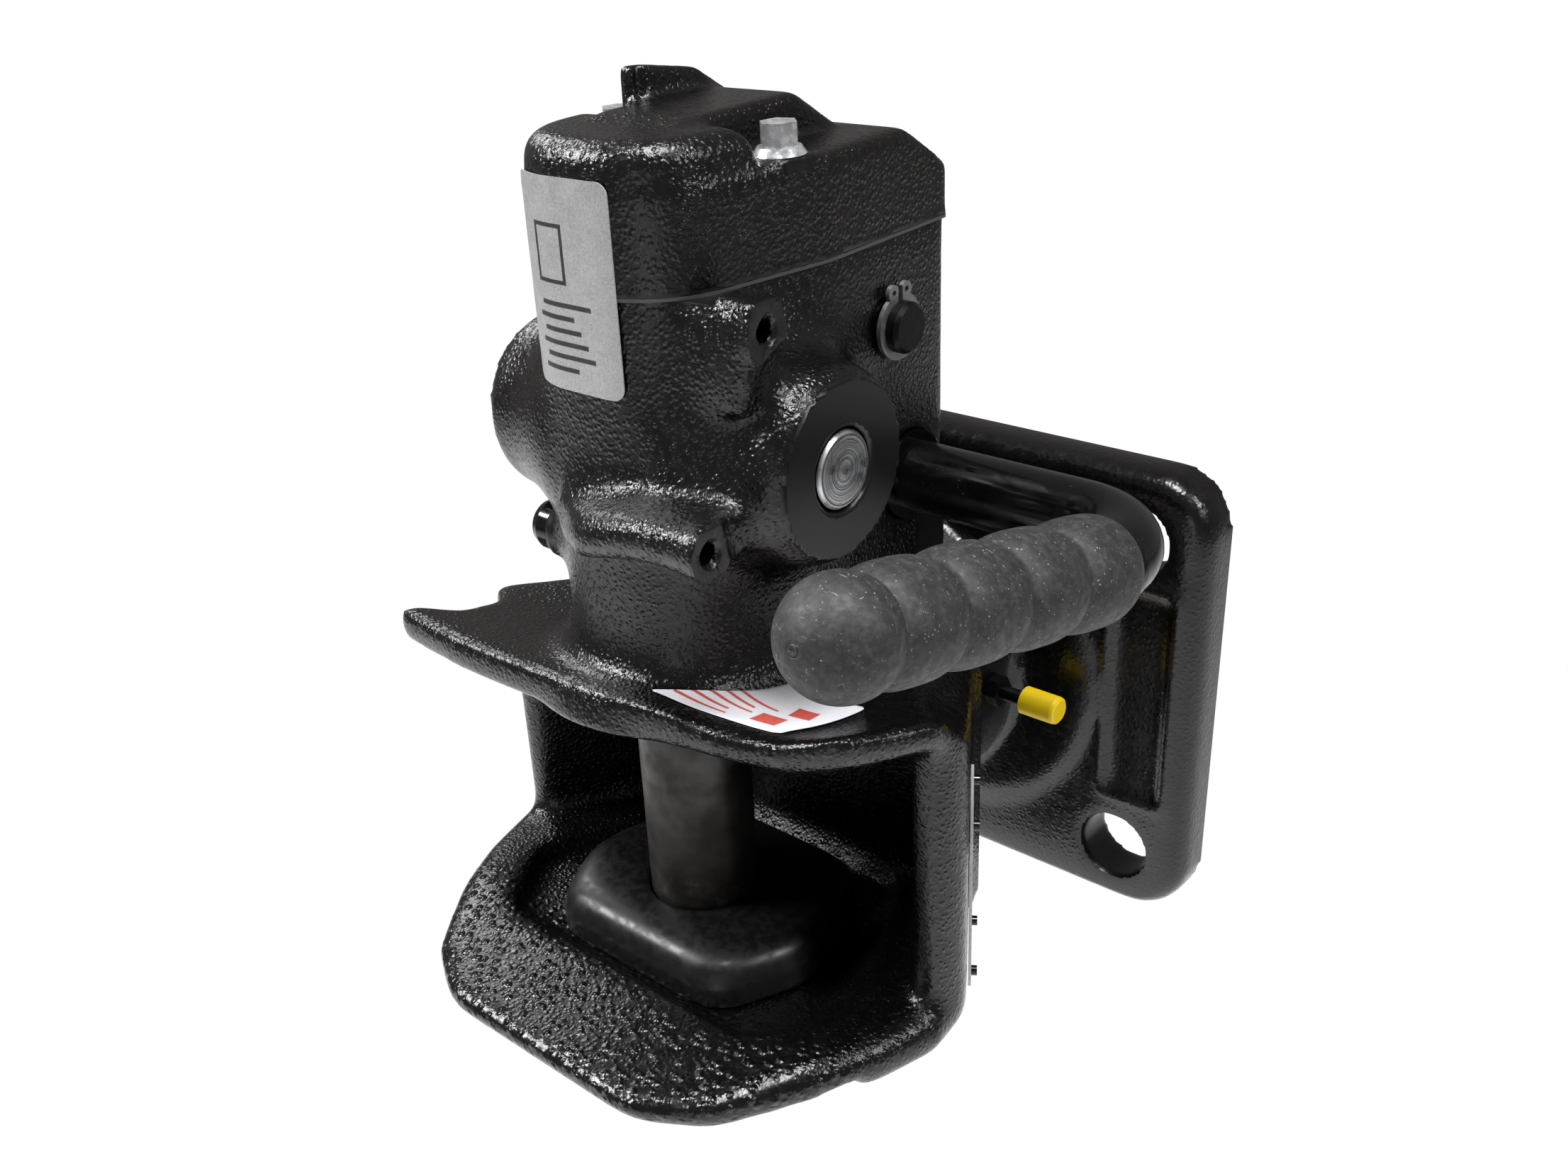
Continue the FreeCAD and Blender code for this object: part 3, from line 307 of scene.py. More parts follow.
def rubber():
    """Matt dark grey rubber: light dust specks, faint fibres and a fine moulded skin."""
    f = Finish("dusty black rubber", "#262628", 0.5)
    f.bump(f.noise(0.4, 3.0, 0.7), 0.05, 0.6)
    f.bump(f.noise(4.0, 3.0), 0.06, 0.3)
    f.rough(f.ramp(f.noise(1.8, 4.0), 0.3, 0.7), 0.5, 0.66)
    speck = f.times(f.ramp(f.cells(1.1), 0.24, 0.1, 0.0, 0.7), f.ramp(f.noise(2.5, 3.0), 0.52, 0.6))
    fibre = f.ramp(f.noise(1.6, 3.0, 0.7, (0.3, 1.8, 1.8)), 0.64, 0.72, 0.0, 0.5)
    haze = f.ramp(f.noise(2.2, 5.0, 0.75), 0.4, 0.75, 0.0, 0.1)
    f.tint(f.most(speck, fibre, haze), "#212123", "#a5a29d")
    return f.mat


def moulded(name, colour, roughness):
    """A moulded plastic with a faint skin."""
    f = Finish(name, colour, roughness)
    f.bump(f.noise(1.2, 2.0), 0.04, 0.3)
    f.rough(f.ramp(f.noise(3.0, 3.0), 0.3, 0.7), roughness * 0.85, roughness * 1.2)
    return f.mat


def film(name, colour, other, roughness, metallic=0.0, print_colour=None, bars=(), across=(1, 0, 0), up=(0, 0, 1),
         origin=(0, 0, 0)):
    """Printed film: a fine silver or white grain under a satin skin, with plain bars in place of any text.
    A bar is (left, right, bottom, top) in millimetres from the origin, along across and up."""
    f = Finish(name, colour, roughness, metallic)
    f.bump(f.noise(0.4, 2.0), 0.015, 0.5)
    ground = f.tint(f.ramp(f.noise(0.45, 3.0), 0.35, 0.7), colour, other)
    f.rough(f.ramp(f.noise(4.0, 3.0), 0.3, 0.7), roughness * 0.8, roughness * 1.25)
    if bars:
        u, v = f.along(across, origin), f.along(up, origin)
        ink = f.add("ShaderNodeMix", data_type="RGBA")
        ink.inputs[7].default_value = linear(print_colour)
        f.link(*f.most(*[f.times(f.band(u, a, b), f.band(v, c, d)) for a, b, c, d in bars]), ink, 0)
        f.link(*ground, ink, 6)
        f.link(ink, 2, f.shader, "Base Color")
    return f.mat


PAINT = cast_paint()
GLOSS = gloss_paint()
ZINC = zinc()
OXIDE = oxide("black oxide steel")
CLIP = oxide("oiled spring steel", "#8d8d90", 0.8)
BRONZE = bronze()
BORE_STEEL = turned_steel("turned guide steel", (PIN_Y, 0.0), "#85878a")
PLUNGER = turned_steel("turned plunger steel", BOSS, "#d6d8da")
PLUG = moulded("gloss black plastic", "#060607", 0.12)
ALU = film("satin aluminium sheet", "#c4c6c8", "#aeb0b3", 0.35, 0.3)

# Plain bars of the front film: an open rectangle over six lines of uneven length
FRONT_BARS = [(-12.5, -11.5, 2, 16), (-3.5, -2.5, 2, 16), (-12.5, -2.5, 2, 3), (-12.5, -2.5, 15, 16)]
FRONT_BARS += [(-12 - 1.5 * (k % 2), 5 - 2.0 * ((k * 3) % 4), -3.4 - 3.1 * k, -2.2 - 3.1 * k) for k in range(6)]

# Plain bars of the lip film: five lines that follow its slanted side, and two blocks
LIP_CORNERS = [(15.5, -138.5), (53, -132), (56, -102), (36, -106)]
LIP_BARS = [(6 + 2.4 * k, 21 + 2.0 * k - 3 * (k % 2), 2.6 + 2.9 * k, 3.5 + 2.9 * k) for k in range(5)]
LIP_BARS += [(27, 34, 4, 11), (32, 38, 14, 20)]

FINISHES = {
    "flange_plate": PAINT, "head_casting": PAINT, "top_cover": PAINT,
    "front_bearing_bush": OXIDE, "rear_bearing_bush": BRONZE, "lever_bushes": PLUG,
    "grease_nipple": OXIDE, "cover_bolts": ZINC, "split_pin": ZINC, "support_plate_bolts": ZINC,
    "nipple_cap": moulded("yellow plastic", "#f2cf12", 0.42),
    "thrust_washer": OXIDE, "castle_nut": OXIDE, "plunger_guide": OXIDE, "lifting_arm": OXIDE,
    "arm_roll_pin": OXIDE, "pivot_pin": OXIDE, "pivot_circlips": CLIP, "catch": OXIDE,
    # The gasket's lighter grey is a painted highlight: it stands in for the bright glint along the joint between
    # tower and cover
    "cover_gasket": moulded("gasket grey as painted seam highlight", "#48484a", 0.35),
    "guide_sleeve": BORE_STEEL, "lower_bush": BORE_STEEL,
    "support_plate": moulded("satin black paint", "#0a0a0b", 0.4), "lever_bar": GLOSS,
    "control_plunger": PLUNGER,
    "boss_plug": PLUG, "side_plug": PLUG,
    "coupling_pin": pin_steel(),
    "lever_grip": rubber(),
    "front_sticker": film("silver film", "#b9babb", "#a2a3a5", 0.34, 0.3, "#3a3a3c", FRONT_BARS,
                          origin=(0, TOWER_FRONT, JOINT_Z)),
    "lip_sticker": film("white film", "#e9e9ee", "#dfdfe7", 0.4, 0.0, "#c9554a", LIP_BARS,
                        (0.984, 0.176, 0), (-0.176, 0.984, 0), (*LIP_CORNERS[0], 30)),
    "type_plate": ALU, "type_plate_rivets": GLOSS,
}
for name, obj in NODES.items():
    obj.data.materials.clear()
    obj.data.materials.append(FINISHES[name])


# Cast skins: the castings' edges worn round, their machined faces kept flat

SLOW_WAVE, QUICK_WAVE = 11.0, 4.5    # lengths of a skin's waviness in millimetres


def value_noise(points, size_mm, seed):
    """Smooth noise from -1 to 1: a hashed number at each whole point, blended between the eight round a point."""
    place = points / size_mm + 1000.0
    base = np.floor(place).astype(np.int64)
    t = place - base
    t = t * t * (3 - 2 * t)
    total = np.zeros(len(points))
    for corner in range(8):
        step = np.array([corner & 1, corner >> 1 & 1, corner >> 2 & 1])
        q = base + step
        mix = (q[:, 0] * 73856093) ^ (q[:, 1] * 19349663) ^ (q[:, 2] * 83492791) ^ (seed * 7919)
        mix = (mix * 1103515245 + 12345) & 0x7FFFFFFF
        mix = ((mix >> 9) ^ mix) * 69069 & 0x7FFFFFFF
        share = np.prod(np.where(step, t, 1 - t), axis=1)
        total += share * ((mix >> 7) & 0xFFFF) / 65535.0
    return total * 2 - 1


def relax(points, edges, ease, rounds):
    """Each point drifts towards the mean of its neighbours by its own ease, round after round."""
    count = len(points)
    a, b = edges[:, 0], edges[:, 1]
    ties = np.bincount(edges.ravel(), minlength=count)
    pull = (0.5 * ease)[:, None]
    for _ in range(rounds):
        mean = np.empty_like(points)
        for k in range(3):
            mean[:, k] = np.bincount(a, points[b, k], count) + np.bincount(b, points[a, k], count)
        points = points + pull * (mean / ties[:, None] - points)
    return points


def inside(value, low, high, soft=1.0):
    """One between low and high, falling to zero over a soft border."""
    return np.clip((value - low) / soft + 1, 0, 1) * np.clip((high - value) / soft + 1, 0, 1)


def disc(p, axis, u, v, radius, low, high, soft=1.0):
    """One inside a round bar along an axis, centred on (u, v) across it, from low to high."""
    others = [k for k in range(3) if k != axis]
    away = np.hypot(p[:, others[0]] - u, p[:, others[1]] - v)
    return np.clip((radius - away) / soft + 1, 0, 1) * inside(p[:, axis], low, high, soft)


def ramp_up(value, low, high):
    """From zero at low to one at high, with soft ends."""
    t = np.clip((value - low) / (high - low), 0, 1)
    return t * t * (3 - 2 * t)


def bar_cutter(outline, low, high, hole=None):
    """Points and faces of a bar along X over an outline of (y, z) points, or of a ring with a hole's outline."""
    n = len(outline)
    rings = [(low, outline), (high, outline)] + ([(low, hole), (high, hole)] if hole is not None else [])
    points = [(x, y, z) for x, ring in rings for y, z in ring]
    faces = [(k, (k + 1) % n, n + (k + 1) % n, n + k) for k in range(n)]
    if hole is None:
        faces += [tuple(range(n))[::-1], tuple(range(n, 2 * n))]
    else:
        faces += [(2 * n + (k + 1) % n, 2 * n + k, 3 * n + k, 3 * n + (k + 1) % n) for k in range(n)]
        faces += [((k + 1) % n, k, 2 * n + k, 2 * n + (k + 1) % n) for k in range(n)]
        faces += [(n + k, n + (k + 1) % n, 3 * n + (k + 1) % n, 3 * n + k) for k in range(n)]
    return points, faces


def block_cutter(x0, x1, y0, y1, z0, z1):
    """Points and faces of a block."""
    return bar_cutter([(y0, z0), (y1, z0), (y1, z1), (y0, z1)], x0, x1)


def circle(centre, radius, count=72):
    """Points round a centre."""
    return [(centre[0] + radius * math.cos(2 * math.pi * k / count),
             centre[1] + radius * math.sin(2 * math.pi * k / count)) for k in range(count)]


def read_points(mesh):
    """A mesh's points in millimetres."""
    points = np.empty(len(mesh.vertices) * 3)
    mesh.vertices.foreach_get("co", points)
    return points.reshape(-1, 3) / MM


def put_points(mesh, points):
    """New places for a mesh's points, in millimetres."""
    mesh.vertices.foreach_set("co", (points * MM).ravel())
    mesh.update()


def new_piece(name, data):
    """A new object at the origin, for a mesh, a lamp or a camera."""
    piece = bpy.data.objects.new(name, data)
    bpy.context.scene.collection.objects.link(piece)
    return piece


def settle(piece):
    """The piece's modifiers worked into its mesh."""
    bpy.context.view_layer.update()
    graph = bpy.context.evaluated_depsgraph_get()
    piece.data = bpy.data.meshes.new_from_object(piece.evaluated_get(graph), depsgraph=graph)
    piece.modifiers.clear()


def face_outwards(mesh):
    """Every face turned outwards."""
    work = bmesh.new()
    work.from_mesh(mesh)
    bmesh.ops.recalc_face_normals(work, faces=work.faces)
    work.to_mesh(mesh)
    work.free()


def smooth(mesh):
    """Every face shaded smoothly."""
    mesh.polygons.foreach_set("use_smooth", np.ones(len(mesh.polygons), dtype=bool))


def machine(piece, cutters):
    """Machined faces: every cutter taken away from the piece."""
    points, faces = [], []
    for more, sides in cutters:
        faces += [tuple(k + len(points) for k in face) for face in sides]
        points += more
    mesh = bpy.data.meshes.new("cutters")
    mesh.from_pydata([tuple(c * MM for c in p) for p in points], [], faces)
    tool = new_piece("cutters", mesh)
    face_outwards(mesh)
    cut = piece.modifiers.new("cut", "BOOLEAN")
    cut.operation = "DIFFERENCE"
    cut.solver = "EXACT"
    cut.object = tool
    settle(piece)
    bpy.data.objects.remove(tool)


def skin(node, body, cell, rounds, form, traits, most, sink, cutters=()):
    """A cast skin for one solid: a merged copy is remeshed in cells of so many millimetres and given its cast
    form, its points drift towards their neighbours except where it was machined, a slow waviness sinks it a
    little, it is thinned to the most triangles that it may have, and its machined faces are cut."""
    mesh = NODES[node].data.copy()
    work = bmesh.new()
    work.from_mesh(mesh)
    bmesh.ops.remove_doubles(work, verts=work.verts, dist=2e-6)
    work.to_mesh(mesh)
    work.free()
    piece = new_piece(node + "_skin", mesh)
    remesh = piece.modifiers.new("cells", "REMESH")
    remesh.mode = "VOXEL"
    remesh.voxel_size = cell * MM
    settle(piece)
    mesh = piece.data
    points = read_points(mesh)
    edges = np.empty(len(mesh.edges) * 2, dtype=np.int64)
    mesh.edges.foreach_get("vertices", edges)
    ease, machined, grain, pebble = traits(points)
    points = relax(form(points), edges.reshape(-1, 2), ease, rounds)
    put_points(mesh, points)
    normals = np.empty(len(points) * 3)
    mesh.vertices.foreach_get("normal", normals)
    wave = value_noise(points, SLOW_WAVE, 3) * 0.6 + value_noise(points, QUICK_WAVE, 4) * 0.4
    points = points - normals.reshape(-1, 3) * (sink * (0.5 + 0.5 * wave) * grain)[:, None]
    low, high = (np.array(corner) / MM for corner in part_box(node))
    put_points(mesh, np.clip(points, low, high))
    faces = 2 * len(mesh.polygons)
    if faces > most:
        thin = piece.modifiers.new("thin", "DECIMATE")
        thin.ratio = most / faces
        settle(piece)
    if cutters:
        machine(piece, cutters)
    mesh = piece.data
    for name, values in zip(("ease", "machined", "grain", "pebble"), traits(read_points(mesh))):
        if name != "ease":
            mesh.attributes.new(name, "FLOAT", "POINT").data.foreach_set("value", values.astype(np.float32))
    smooth(mesh)
    mesh.set_sharp_from_angle(angle=math.radians(50))
    weigh = piece.modifiers.new("weigh", "WEIGHTED_NORMAL")
    weigh.keep_sharp = True
    settle(piece)
    piece.data.materials.clear()
    piece.data.materials.append(FINISHES[node])
    piece.data.polygons.foreach_set("material_index", np.zeros(len(piece.data.polygons), dtype=np.int32))
    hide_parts(node)
    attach(piece, body)
    return piece


# How far the cast form departs from the solids, in millimetres

RIM_DROP = 2.8
LIP_LIFT = 2.0
LIP_CURL = 10.0
NOTCH = 13.0
SKIRT = 8.0
BAR_STAND = 14.2
BAR_FALL = 7.0
JOINT_STAND = 0.3
JOINT_RISE = 1.9
COVER_DROP = 1.6


def casting_form(p):
    """The cast form of the head. The boss's rim is rounded off. The lip curls up at its right end and has a notch
    behind its left tip. The tower runs out into the lip in a skirt, thickest where exp(-t squared) peaks in height.
    The lower lug's bar has a half-round front that sinks into the tower at its left end. The tower's top is drawn
    up a little, so that its joint face can be cut, and stands out under the cover by a hair."""
    x, y, z = p.T.copy()
    from_boss = np.hypot(y - BOSS[0], z - BOSS[1])
    rim = ramp_up(from_boss, 21.6, 25.4) ** 2 * ramp_up(np.abs(x), 45.5, 50.5) * (from_boss < 30)
    x -= np.sign(x) * RIM_DROP * rim

    lip = ramp_up(z, 4, 20) * (1 - ramp_up(z, 40, 58))
    front_lift = LIP_LIFT * ramp_up(x, -40, 15) * ramp_up(-y, 118, 140)
    right_curl = LIP_CURL * ramp_up(x, 50, 85) * ramp_up(-y, 78, 110)
    curl = lip * (front_lift + right_curl)
    notch = NOTCH * (ramp_up(-x, 58, 80) * inside(y, -133, -114, 7.0) * inside(z, 15, 45, 3.0))

    from_x, from_y = x / 30.0, (y + 98) / 34.0
    away = np.hypot(from_x, from_y) + 1e-6
    spread = SKIRT * np.exp(-((z - 28.0) / 6.5) ** 2) * inside(z, 26, 60, 4.0)
    skirt = spread * inside(away, 0.85, 1.35, 0.15) * (1 - ramp_up(y, -100, -80) * 0.7)
    joint = ramp_up(z, 130.5, 134.5) * inside(np.abs(x), -1, TOWER_HALF + 0.3, 0.3) * JOINT_STAND

    rib = inside(z, 72.0, 99.0, 1.0) * ramp_up(-y, 134.5, 136.5)
    arc = np.sqrt(np.clip(1 - ((z - RIB_Z) / BAR_R) ** 2, 0, 1))
    stand = np.minimum(TOWER_FRONT - y, BAR_STAND * arc * (0.12 + 0.88 * ramp_up(x, -14, 8)))
    rise = JOINT_RISE * ramp_up(z, 134.0, 135.6) - BAR_FALL * rib * (1 - ramp_up(x, -10, 32))

    return np.stack([x + notch + (skirt + joint) * from_x / away,
                     y + (skirt + joint) * from_y / away * 0.9 + rib * (TOWER_FRONT - y - stand),
                     z + curl + rise], axis=1)


def casting_traits(p):
    """Ease, machined, grain and pebble for the head casting."""
    x, y, z = p.T
    ears = np.maximum.reduce([disc(p, 0, *lug, 7.4, 42.0, 47, 0.7) for lug in LUGS])
    machined = np.maximum.reduce([
        disc(p, 0, *BOSS, BOSS_FLAT, 50.0, 60, 0.5), disc(p, 0, *BOSS, BOSS_FLAT, -60, -50.2, 0.5),
        disc(p, 0, *BOSS, 11.0, 15, 60, 0.8), disc(p, 0, *BOSS, 15.0, -60, -38, 0.8), ears,
        inside(z, JOINT_Z - 0.5, 140, 0.3) * inside(np.abs(x), -1, TOWER_HALF, 0.3),
        inside(y, -46.0, 60, 1.0) * inside(z, -60, 60, 2.0),
        disc(p, 2, 0, PIN_Y, 20.5, 18, 24, 1.0), disc(p, 2, 0, PIN_Y, 20.5, -90, -50, 1.0),
        disc(p, 0, *LEVER_AXIS, 13.5, 30, 40, 1.0), disc(p, 0, *CROSS_PIN, 8.2, -40, -30, 1.0),
        disc(p, 0, *CROSS_PIN, 8.2, 30, 40, 1.0), disc(p, 0, *SIDE_PLUG, 8.5, -40, -30, 1.0),
        inside(np.abs(x), -1, 20, 1.0) * inside(y, -127, -38, 1.0) * inside(z, 30, 140, 1.0)])
    flare = inside(z, 24, 60, 8.0) * inside(y, -138, -48, 6.0) * inside(np.abs(x), -1, 50, 8.0)
    boss_root = disc(p, 0, *BOSS, 46, -40, 36, 5.0) * (1 - disc(p, 0, *BOSS, 22, -60, 60, 4.0))
    roots = np.clip(np.maximum(boss_root, flare), 0, 1)
    rib = disc(p, 0, *LUGS[1], 13.0, -12, 60, 4.0)
    ridge = disc(p, 0, *LUGS[0], 17.0, -10, 41, 5.0)
    ease = np.maximum((0.3 + 0.7 * roots) * (1 - 0.62 * rib), 0.75 * ridge) * (1 - 0.98 * machined)
    pebble = inside(z, -75, -46, 4.0) * inside(y, -190, -136, 8.0)
    flats = np.maximum(machined * (ears < 0.01), ears * inside(x, 44.5, 50, 0.2))
    return ease, flats, (1 - flats) * (1 - 0.5 * pebble), pebble * (1 - flats)


CASTING_CUTS = [bar_cutter(circle(BOSS, 30), BOSS_FACE, 60),
                bar_cutter(circle(BOSS, 30), -60, -BOSS_FACE),
                bar_cutter(circle(BOSS, BORE_R), 44.0, BOSS_FACE + 0.05)]
CASTING_CUTS += [bar_cutter(circle(lug, THREAD_R, 40), 31.5, 55) for lug in LUGS]
CASTING_CUTS += [bar_cutter(circle(lug, 12.0), LUG_FACE, 54, circle(lug, THREAD_R + 0.1)) for lug in LUGS]
CASTING_CUTS += [block_cutter(-33.6, 33.6, -140, -28, JOINT_Z, 142)]


def cover_form(p):
    """The cover's lower edge is drawn down a little, so that its joint face can be kept flat and sharp."""
    x, y, z = p.T.copy()
    return np.stack([x, y, z - COVER_DROP * (1 - ramp_up(z, 137.2, 138.8))], axis=1)


def as_made(p):
    """The form of the solid, unchanged."""
    return p


def cover_traits(p):
    """Ease, machined, grain and pebble for the top cover."""
    x, y, z = p.T
    bolts = np.maximum(*[disc(p, 2, side * COVER_BOLT[0], COVER_BOLT[1], 6.5, 159, 163.4, 0.8) for side in (1, -1)])
    machined = np.maximum.reduce([inside(z, 130, 138.0, 0.6), bolts,
                                  inside(np.abs(x), -1, 19.5, 0.8) * inside(y, -127, -48, 0.8)
                                  * inside(z, 130, 153, 0.8)])
    top = inside(z, 158, 190, 3.0)
    return (0.3 + 0.1 * top) * (1 - 0.97 * machined), machined, 1 - machined, np.zeros(len(p))


def flange_traits(p):
    """Ease, machined, grain and pebble for the flange plate."""
    x, y, z = p.T
    holes = np.maximum.reduce([disc(p, 1, sx * HOLE_X, sz * HOLE_Z, 11.2, -30, 5, 1.0)
                               for sx in (-1, 1) for sz in (-1, 1)])
    machined = np.maximum.reduce([inside(y, -1.2, 5, 1.0), holes, disc(p, 1, 0, 0, 33, -50, 5, 1.0),
                                  disc(p, 0, -30, 0, 9.5, 40, 55, 1.0)])
    panel = inside(x, 72, 97, 2.0) * inside(z, -36, 40, 2.0)
    return (0.5 - 0.35 * panel) * (1 - 0.97 * machined), machined, 0.4 * (1 - machined), np.zeros(len(p))


def support_traits(p):
    """Ease, machined, grain and pebble for the support plate."""
    bore = disc(p, 2, 0, PIN_Y, 17.5, -60, -40, 1.0)
    low = inside(p[:, 2], -60, -50, 1.0)
    return 0.6 * (1 - 0.97 * np.maximum(bore, low)), low, 0.3 * (1 - low), np.zeros(len(p))


CASTING = skin("head_casting", "head", 1.25, 110, casting_form, casting_traits, 190000,
               0.16, CASTING_CUTS)
skin("top_cover", "head", 0.8, 40, cover_form, cover_traits, 120000, 0.1)
skin("flange_plate", "flange", 1.3, 50, as_made, flange_traits, 120000, 0.12)
skin("support_plate", "head", 0.9, 300, as_made, support_traits, 40000, 0.05)


# The film on the lip, draped over the cast skin

FILM_DROP = 44.0        # height from which it is let down
FILM_THICK = 0.12
FILM_LIFT = 0.35
FILM_BOW = (3.4, -2.0)  # how far its slanted side is bowed away from the tower

def film_sheet(name, corners, radius, bow, lift, finish, target):
    """A rounded quadrilateral laid on the casting from above: a grid whose corners are pulled in to a radius and
    whose first side is bowed like a parabola, let down onto the skin, smoothed and given its thickness."""
    n = 40
    t = np.linspace(0, 1, n)
    u, v = np.meshgrid(t, t, indexing="ij")
    a, b, c, d = (np.array(corner, dtype=float) for corner in corners)
    wide = np.linalg.norm(b - a)
    deep = np.linalg.norm(d - a)
    dv = v * deep
    in_v = np.minimum(dv, deep - dv)
    corner = np.maximum(radius - in_v, 0)
    room = radius - np.sqrt(np.maximum(radius ** 2 - corner ** 2, 0))
    squeeze = (wide - 2 * room) / wide
    u = 0.5 + (u - 0.5) * squeeze
    plan = ((1 - u) * (1 - v))[..., None] * a + (u * (1 - v))[..., None] * b + (u * v)[..., None] * c \
        + ((1 - u) * v)[..., None] * d + (4 * v * (1 - v) * (1 - u))[..., None] * np.array(bow)
    points = np.concatenate([plan.reshape(-1, 2), np.full((n * n, 1), FILM_DROP)], axis=1)
    i, j = (k.ravel() for k in np.meshgrid(np.arange(n - 1), np.arange(n - 1), indexing="ij"))
    quads = np.stack([i * n + j, (i + 1) * n + j, (i + 1) * n + j + 1, i * n + j + 1], axis=1)
    mesh = bpy.data.meshes.new(name)
    mesh.from_pydata((points * MM).tolist(), [], quads.tolist())
    piece = new_piece(name, mesh)
    wrap = piece.modifiers.new("lay", "SHRINKWRAP")
    wrap.target = target
    wrap.wrap_method = "PROJECT"
    wrap.use_project_z = True
    wrap.use_negative_direction = True
    wrap.use_positive_direction = False
    wrap.offset = lift * MM
    settle(piece)
    points = read_points(piece.data).reshape(n, n, 3)
    under = points[..., 2].copy()
    for k in range(60):
        wide_z = np.pad(points[..., 2], 1, mode="edge")
        points[..., 2] = (wide_z[:-2, 1:-1] + wide_z[2:, 1:-1] + wide_z[1:-1, :-2] + wide_z[1:-1, 2:]) / 4
        if k in (40, 52):
            points[..., 2] = np.maximum(points[..., 2], under)
    put_points(piece.data, points.reshape(-1, 3))
    thick = piece.modifiers.new("thick", "SOLIDIFY")
    thick.thickness = FILM_THICK * MM
    thick.offset = 1.0
    settle(piece)
    smooth(piece.data)
    piece.data.materials.append(finish)
    return piece


sheet = film_sheet("lip_film", LIP_CORNERS, 2.0, FILM_BOW, FILM_LIFT, FINISHES["lip_sticker"], CASTING)
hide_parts("lip_sticker")
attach(sheet, "head")


# The rubber grip

TILT, YAW = math.radians(11), math.radians(4.6)
AIM = np.array([-math.sin(YAW) * math.cos(TILT), -math.cos(YAW) * math.cos(TILT), math.sin(TILT)])
GRIP_START = np.array([104.0, -70.0, 71.0]) + 4.0 * AIM
GRIP_R = 13.4
BARREL = 21.0           # length of one swelling
GROOVE = 2.3
BALL_AT = 90.0          # the ball's centre along the grip


def grip_profile():
    """Radius and place along the grip: four barrels, each falling off to its grooves as a steep power of the
    distance from its middle, then a ball with a small moulding mark at its end, and the bore behind."""
    s = np.linspace(0, 4 * BARREL, 4 * 22 + 1)
    u = np.abs((s % BARREL) / (BARREL / 2) - 1)
    u[-1] = 1.0
    barrel = GRIP_R - GROOVE * u ** 3.4
    turn = np.radians(np.linspace(-26, 83.6, 34))
    ball = np.stack([GRIP_R * np.cos(turn), BALL_AT + GRIP_R * np.sin(turn)], axis=1)
    mark = np.array([[1.3, 103.0], [1.2, 103.4], [0.9, 103.45], [0.5, 103.1], [0.0, 103.1]])
    start = np.array([[9.9, 0.0], [10.6, 0.0]])
    return np.concatenate([start, np.stack([barrel, s], axis=1)[1:], ball, mark])


def grip_piece():
    """The profile carried round the grip's axis; the open start is closed on the handle's wall."""
    line = grip_profile()
    around = 96
    angle = np.arange(around) * 2 * math.pi / around
    side = np.cross(AIM, [0, 0, 1])
    side /= np.linalg.norm(side)
    other = np.cross(AIM, side)
    ring = np.cos(angle)[:, None] * side + np.sin(angle)[:, None] * other
    points = GRIP_START + line[:-1, 1][:, None, None] * AIM + line[:-1, 0][:, None, None] * ring[None]
    rows = len(line) - 1
    points = np.concatenate([points.reshape(-1, 3), [GRIP_START + line[-1, 1] * AIM, GRIP_START]])
    i, j = np.meshgrid(np.arange(rows - 1), np.arange(around), indexing="ij")
    i, j = i.ravel(), j.ravel()
    k = (j + 1) % around
    quads = np.stack([i * around + j, i * around + k, (i + 1) * around + k, (i + 1) * around + j], axis=1)
    j = np.arange(around)
    k = (j + 1) % around
    last = (rows - 1) * around
    tip = np.stack([last + j, last + k, np.full(around, rows * around)], axis=1)
    foot = np.stack([k, j, np.full(around, rows * around + 1)], axis=1)
    mesh = bpy.data.meshes.new("grip")
    mesh.from_pydata((points * MM).tolist(), [], quads.tolist() + tip.tolist() + foot.tolist())
    smooth(mesh)
    face_outwards(mesh)
    piece = new_piece("grip_barrels", mesh)
    mesh.materials.append(FINISHES["lever_grip"])
    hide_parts("lever_grip")
    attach(piece, "hand_lever")


grip_piece()


# The camera of the photo: its place in metres and three directions at right angles

EYE = (0.26755, -0.37321, 0.23226)
RIGHT = Vector((0.739251, 0.670699, -0.060582))
DOWN = Vector((0.268239, -0.375778, -0.887039))
AHEAD = Vector((-0.617702, 0.639495, -0.457702))
camera = bpy.data.cameras.new("camera")
camera.sensor_width = 36.0
camera.lens = 36.311
camera.shift_x = 0.04326
camera.shift_y = 0.02541
camera.clip_start = 0.01
eye = new_piece("camera", camera)
eye.matrix_world = Matrix.Translation(EYE) @ Matrix((RIGHT, -DOWN, -AHEAD)).transposed().to_4x4()
bpy.context.scene.camera = eye
bpy.context.scene.view_settings.view_transform = "Standard"


# Light: a white room to the camera, a dim warm one to the object, soft boxes for the paint's highlights

ROOM_STRENGTH = 0.065
MIRRORED_SHARE = 0.14   # how much of the white background shows in paint and metal
world = bpy.data.worlds.new("studio")
bpy.context.scene.world = world
world.use_nodes = True
tree = world.node_tree
tree.nodes.clear()
out = tree.nodes.new("ShaderNodeOutputWorld")
room = tree.nodes.new("ShaderNodeBackground")
room.inputs["Color"].default_value = (1.0, 0.86, 0.78, 1)
room.inputs["Strength"].default_value = ROOM_STRENGTH
white = tree.nodes.new("ShaderNodeBackground")
white.inputs["Color"].default_value = (1, 1, 1, 1)
white.inputs["Strength"].default_value = 1.0
seen = tree.nodes.new("ShaderNodeLightPath")
mixer = tree.nodes.new("ShaderNodeMixShader")
clear = tree.nodes.new("ShaderNodeMath")
clear.operation = "MAXIMUM"
tree.links.new(seen.outputs["Is Camera Ray"], clear.inputs[0])
tree.links.new(seen.outputs["Is Transmission Ray"], clear.inputs[1])
mirrored = tree.nodes.new("ShaderNodeMath")
mirrored.operation = "MULTIPLY_ADD"
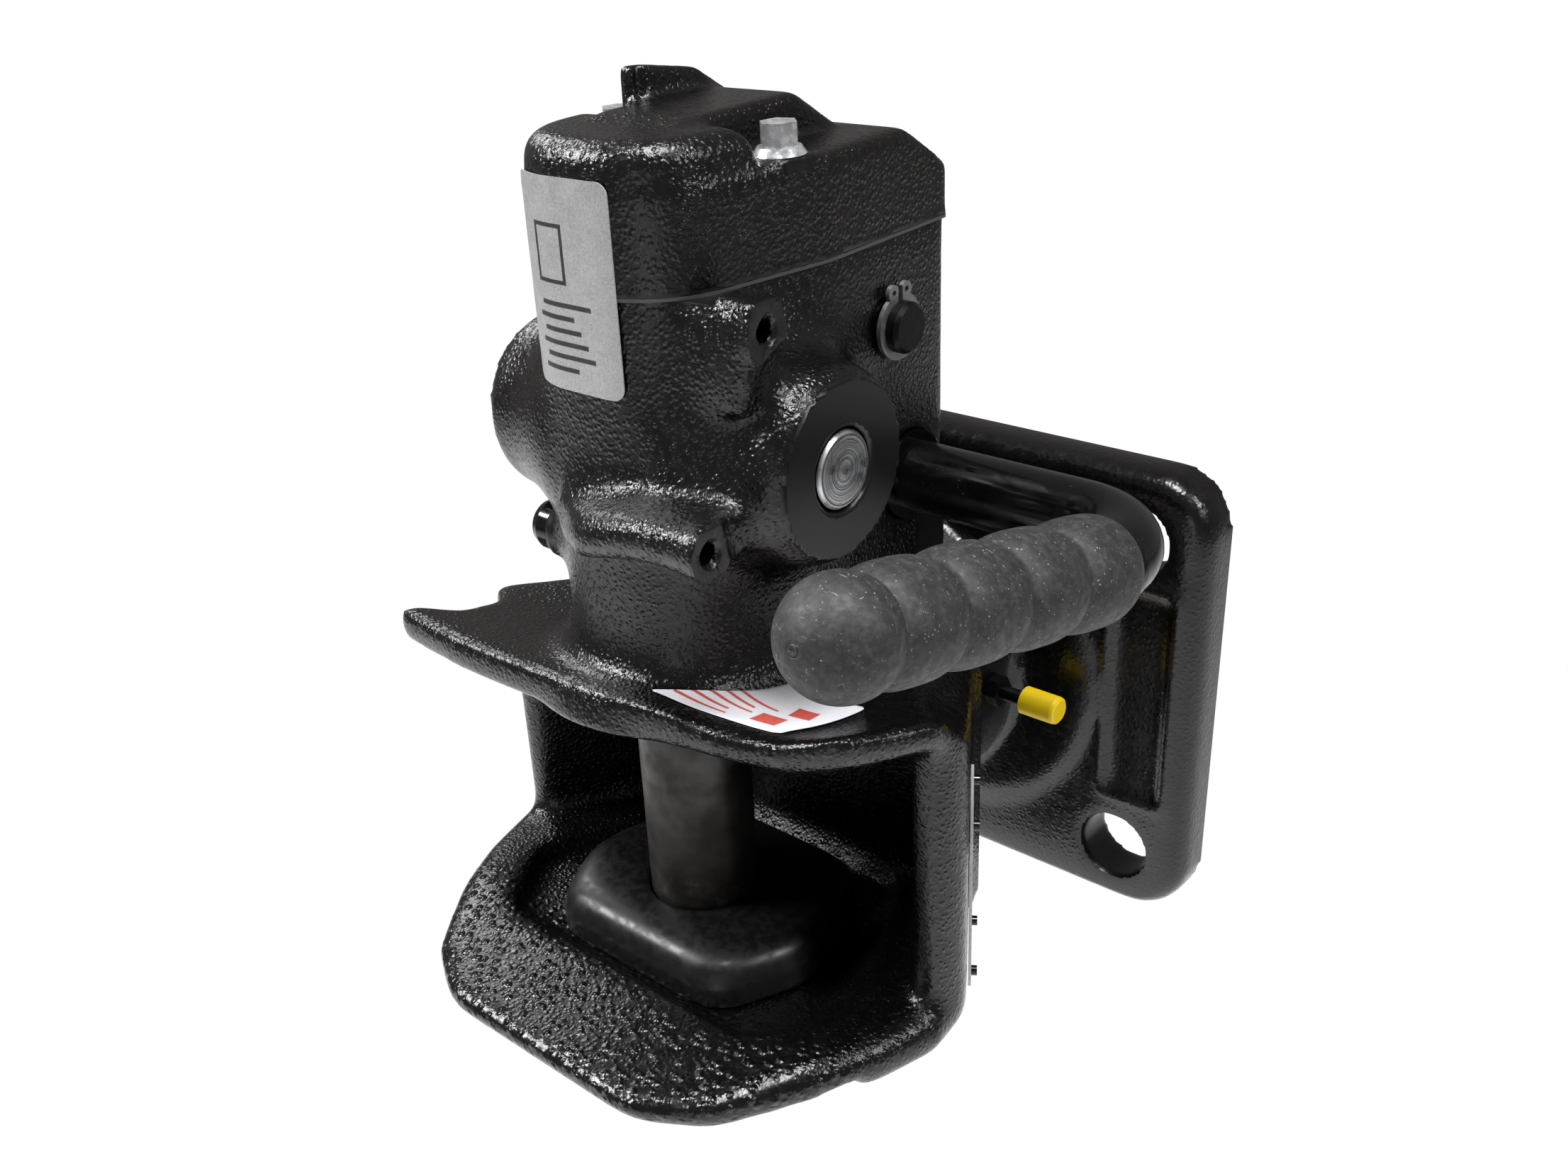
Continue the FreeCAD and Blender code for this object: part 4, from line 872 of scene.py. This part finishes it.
mirrored.inputs[1].default_value = MIRRORED_SHARE
tree.links.new(seen.outputs["Is Glossy Ray"], mirrored.inputs[0])
tree.links.new(clear.outputs[0], mirrored.inputs[2])
tree.links.new(mirrored.outputs[0], mixer.inputs[0])
tree.links.new(room.outputs[0], mixer.inputs[1])
tree.links.new(white.outputs[0], mixer.inputs[2])
tree.links.new(mixer.outputs[0], out.inputs["Surface"])


CENTRE = (0, -0.08, 0.04)


def softbox(name, place, wide, high, power):
    """An area lamp at a place, turned towards the object; sizes in metres."""
    lamp = bpy.data.lights.new(name, "AREA")
    lamp.shape = "RECTANGLE"
    lamp.size = wide
    lamp.size_y = high
    lamp.energy = power
    obj = new_piece(name, lamp)
    obj.location = place
    obj.rotation_euler = (Vector(place) - Vector(CENTRE)).to_track_quat("Z", "Y").to_euler()


softbox("window_front_left", (-0.85, -0.75, 0.95), 0.4, 0.5, 22)
softbox("window_right", (1.15, 0.15, 0.95), 0.3, 0.5, 9)
softbox("ceiling", (0.2, -0.2, 1.25), 0.35, 0.5, 18)
softbox("rear_left", (-1.2, 0.25, 0.85), 0.3, 0.5, 5)
softbox("low_front", (0.5, -1.0, 0.0), 0.4, 0.3, 0.6)


# The floor, far enough below to stay plain

FLOOR_Z = -0.42
FLOOR_HALF = 4.0
mesh = bpy.data.meshes.new("floor")
mesh.from_pydata([(x * FLOOR_HALF, y * FLOOR_HALF, FLOOR_Z) for x, y in ((-1, -1), (1, -1), (1, 1), (-1, 1))],
                 [], [(0, 1, 2, 3)])
floor = new_piece("floor", mesh)
ground = Finish("pale floor", "#ffffff", 0.9)
glow = ground.add("ShaderNodeEmission")
glow.inputs["Color"].default_value = (1, 1, 1, 1)
path = ground.add("ShaderNodeLightPath")
pick = ground.add("ShaderNodeMixShader")
ground.link(path, "Is Camera Ray", pick, 0)
ground.link(ground.shader, "BSDF", pick, 1)
ground.link(glow, "Emission", pick, 2)
ground.link(pick, "Shader", ground.out, "Surface")
mesh.materials.append(ground.mat)
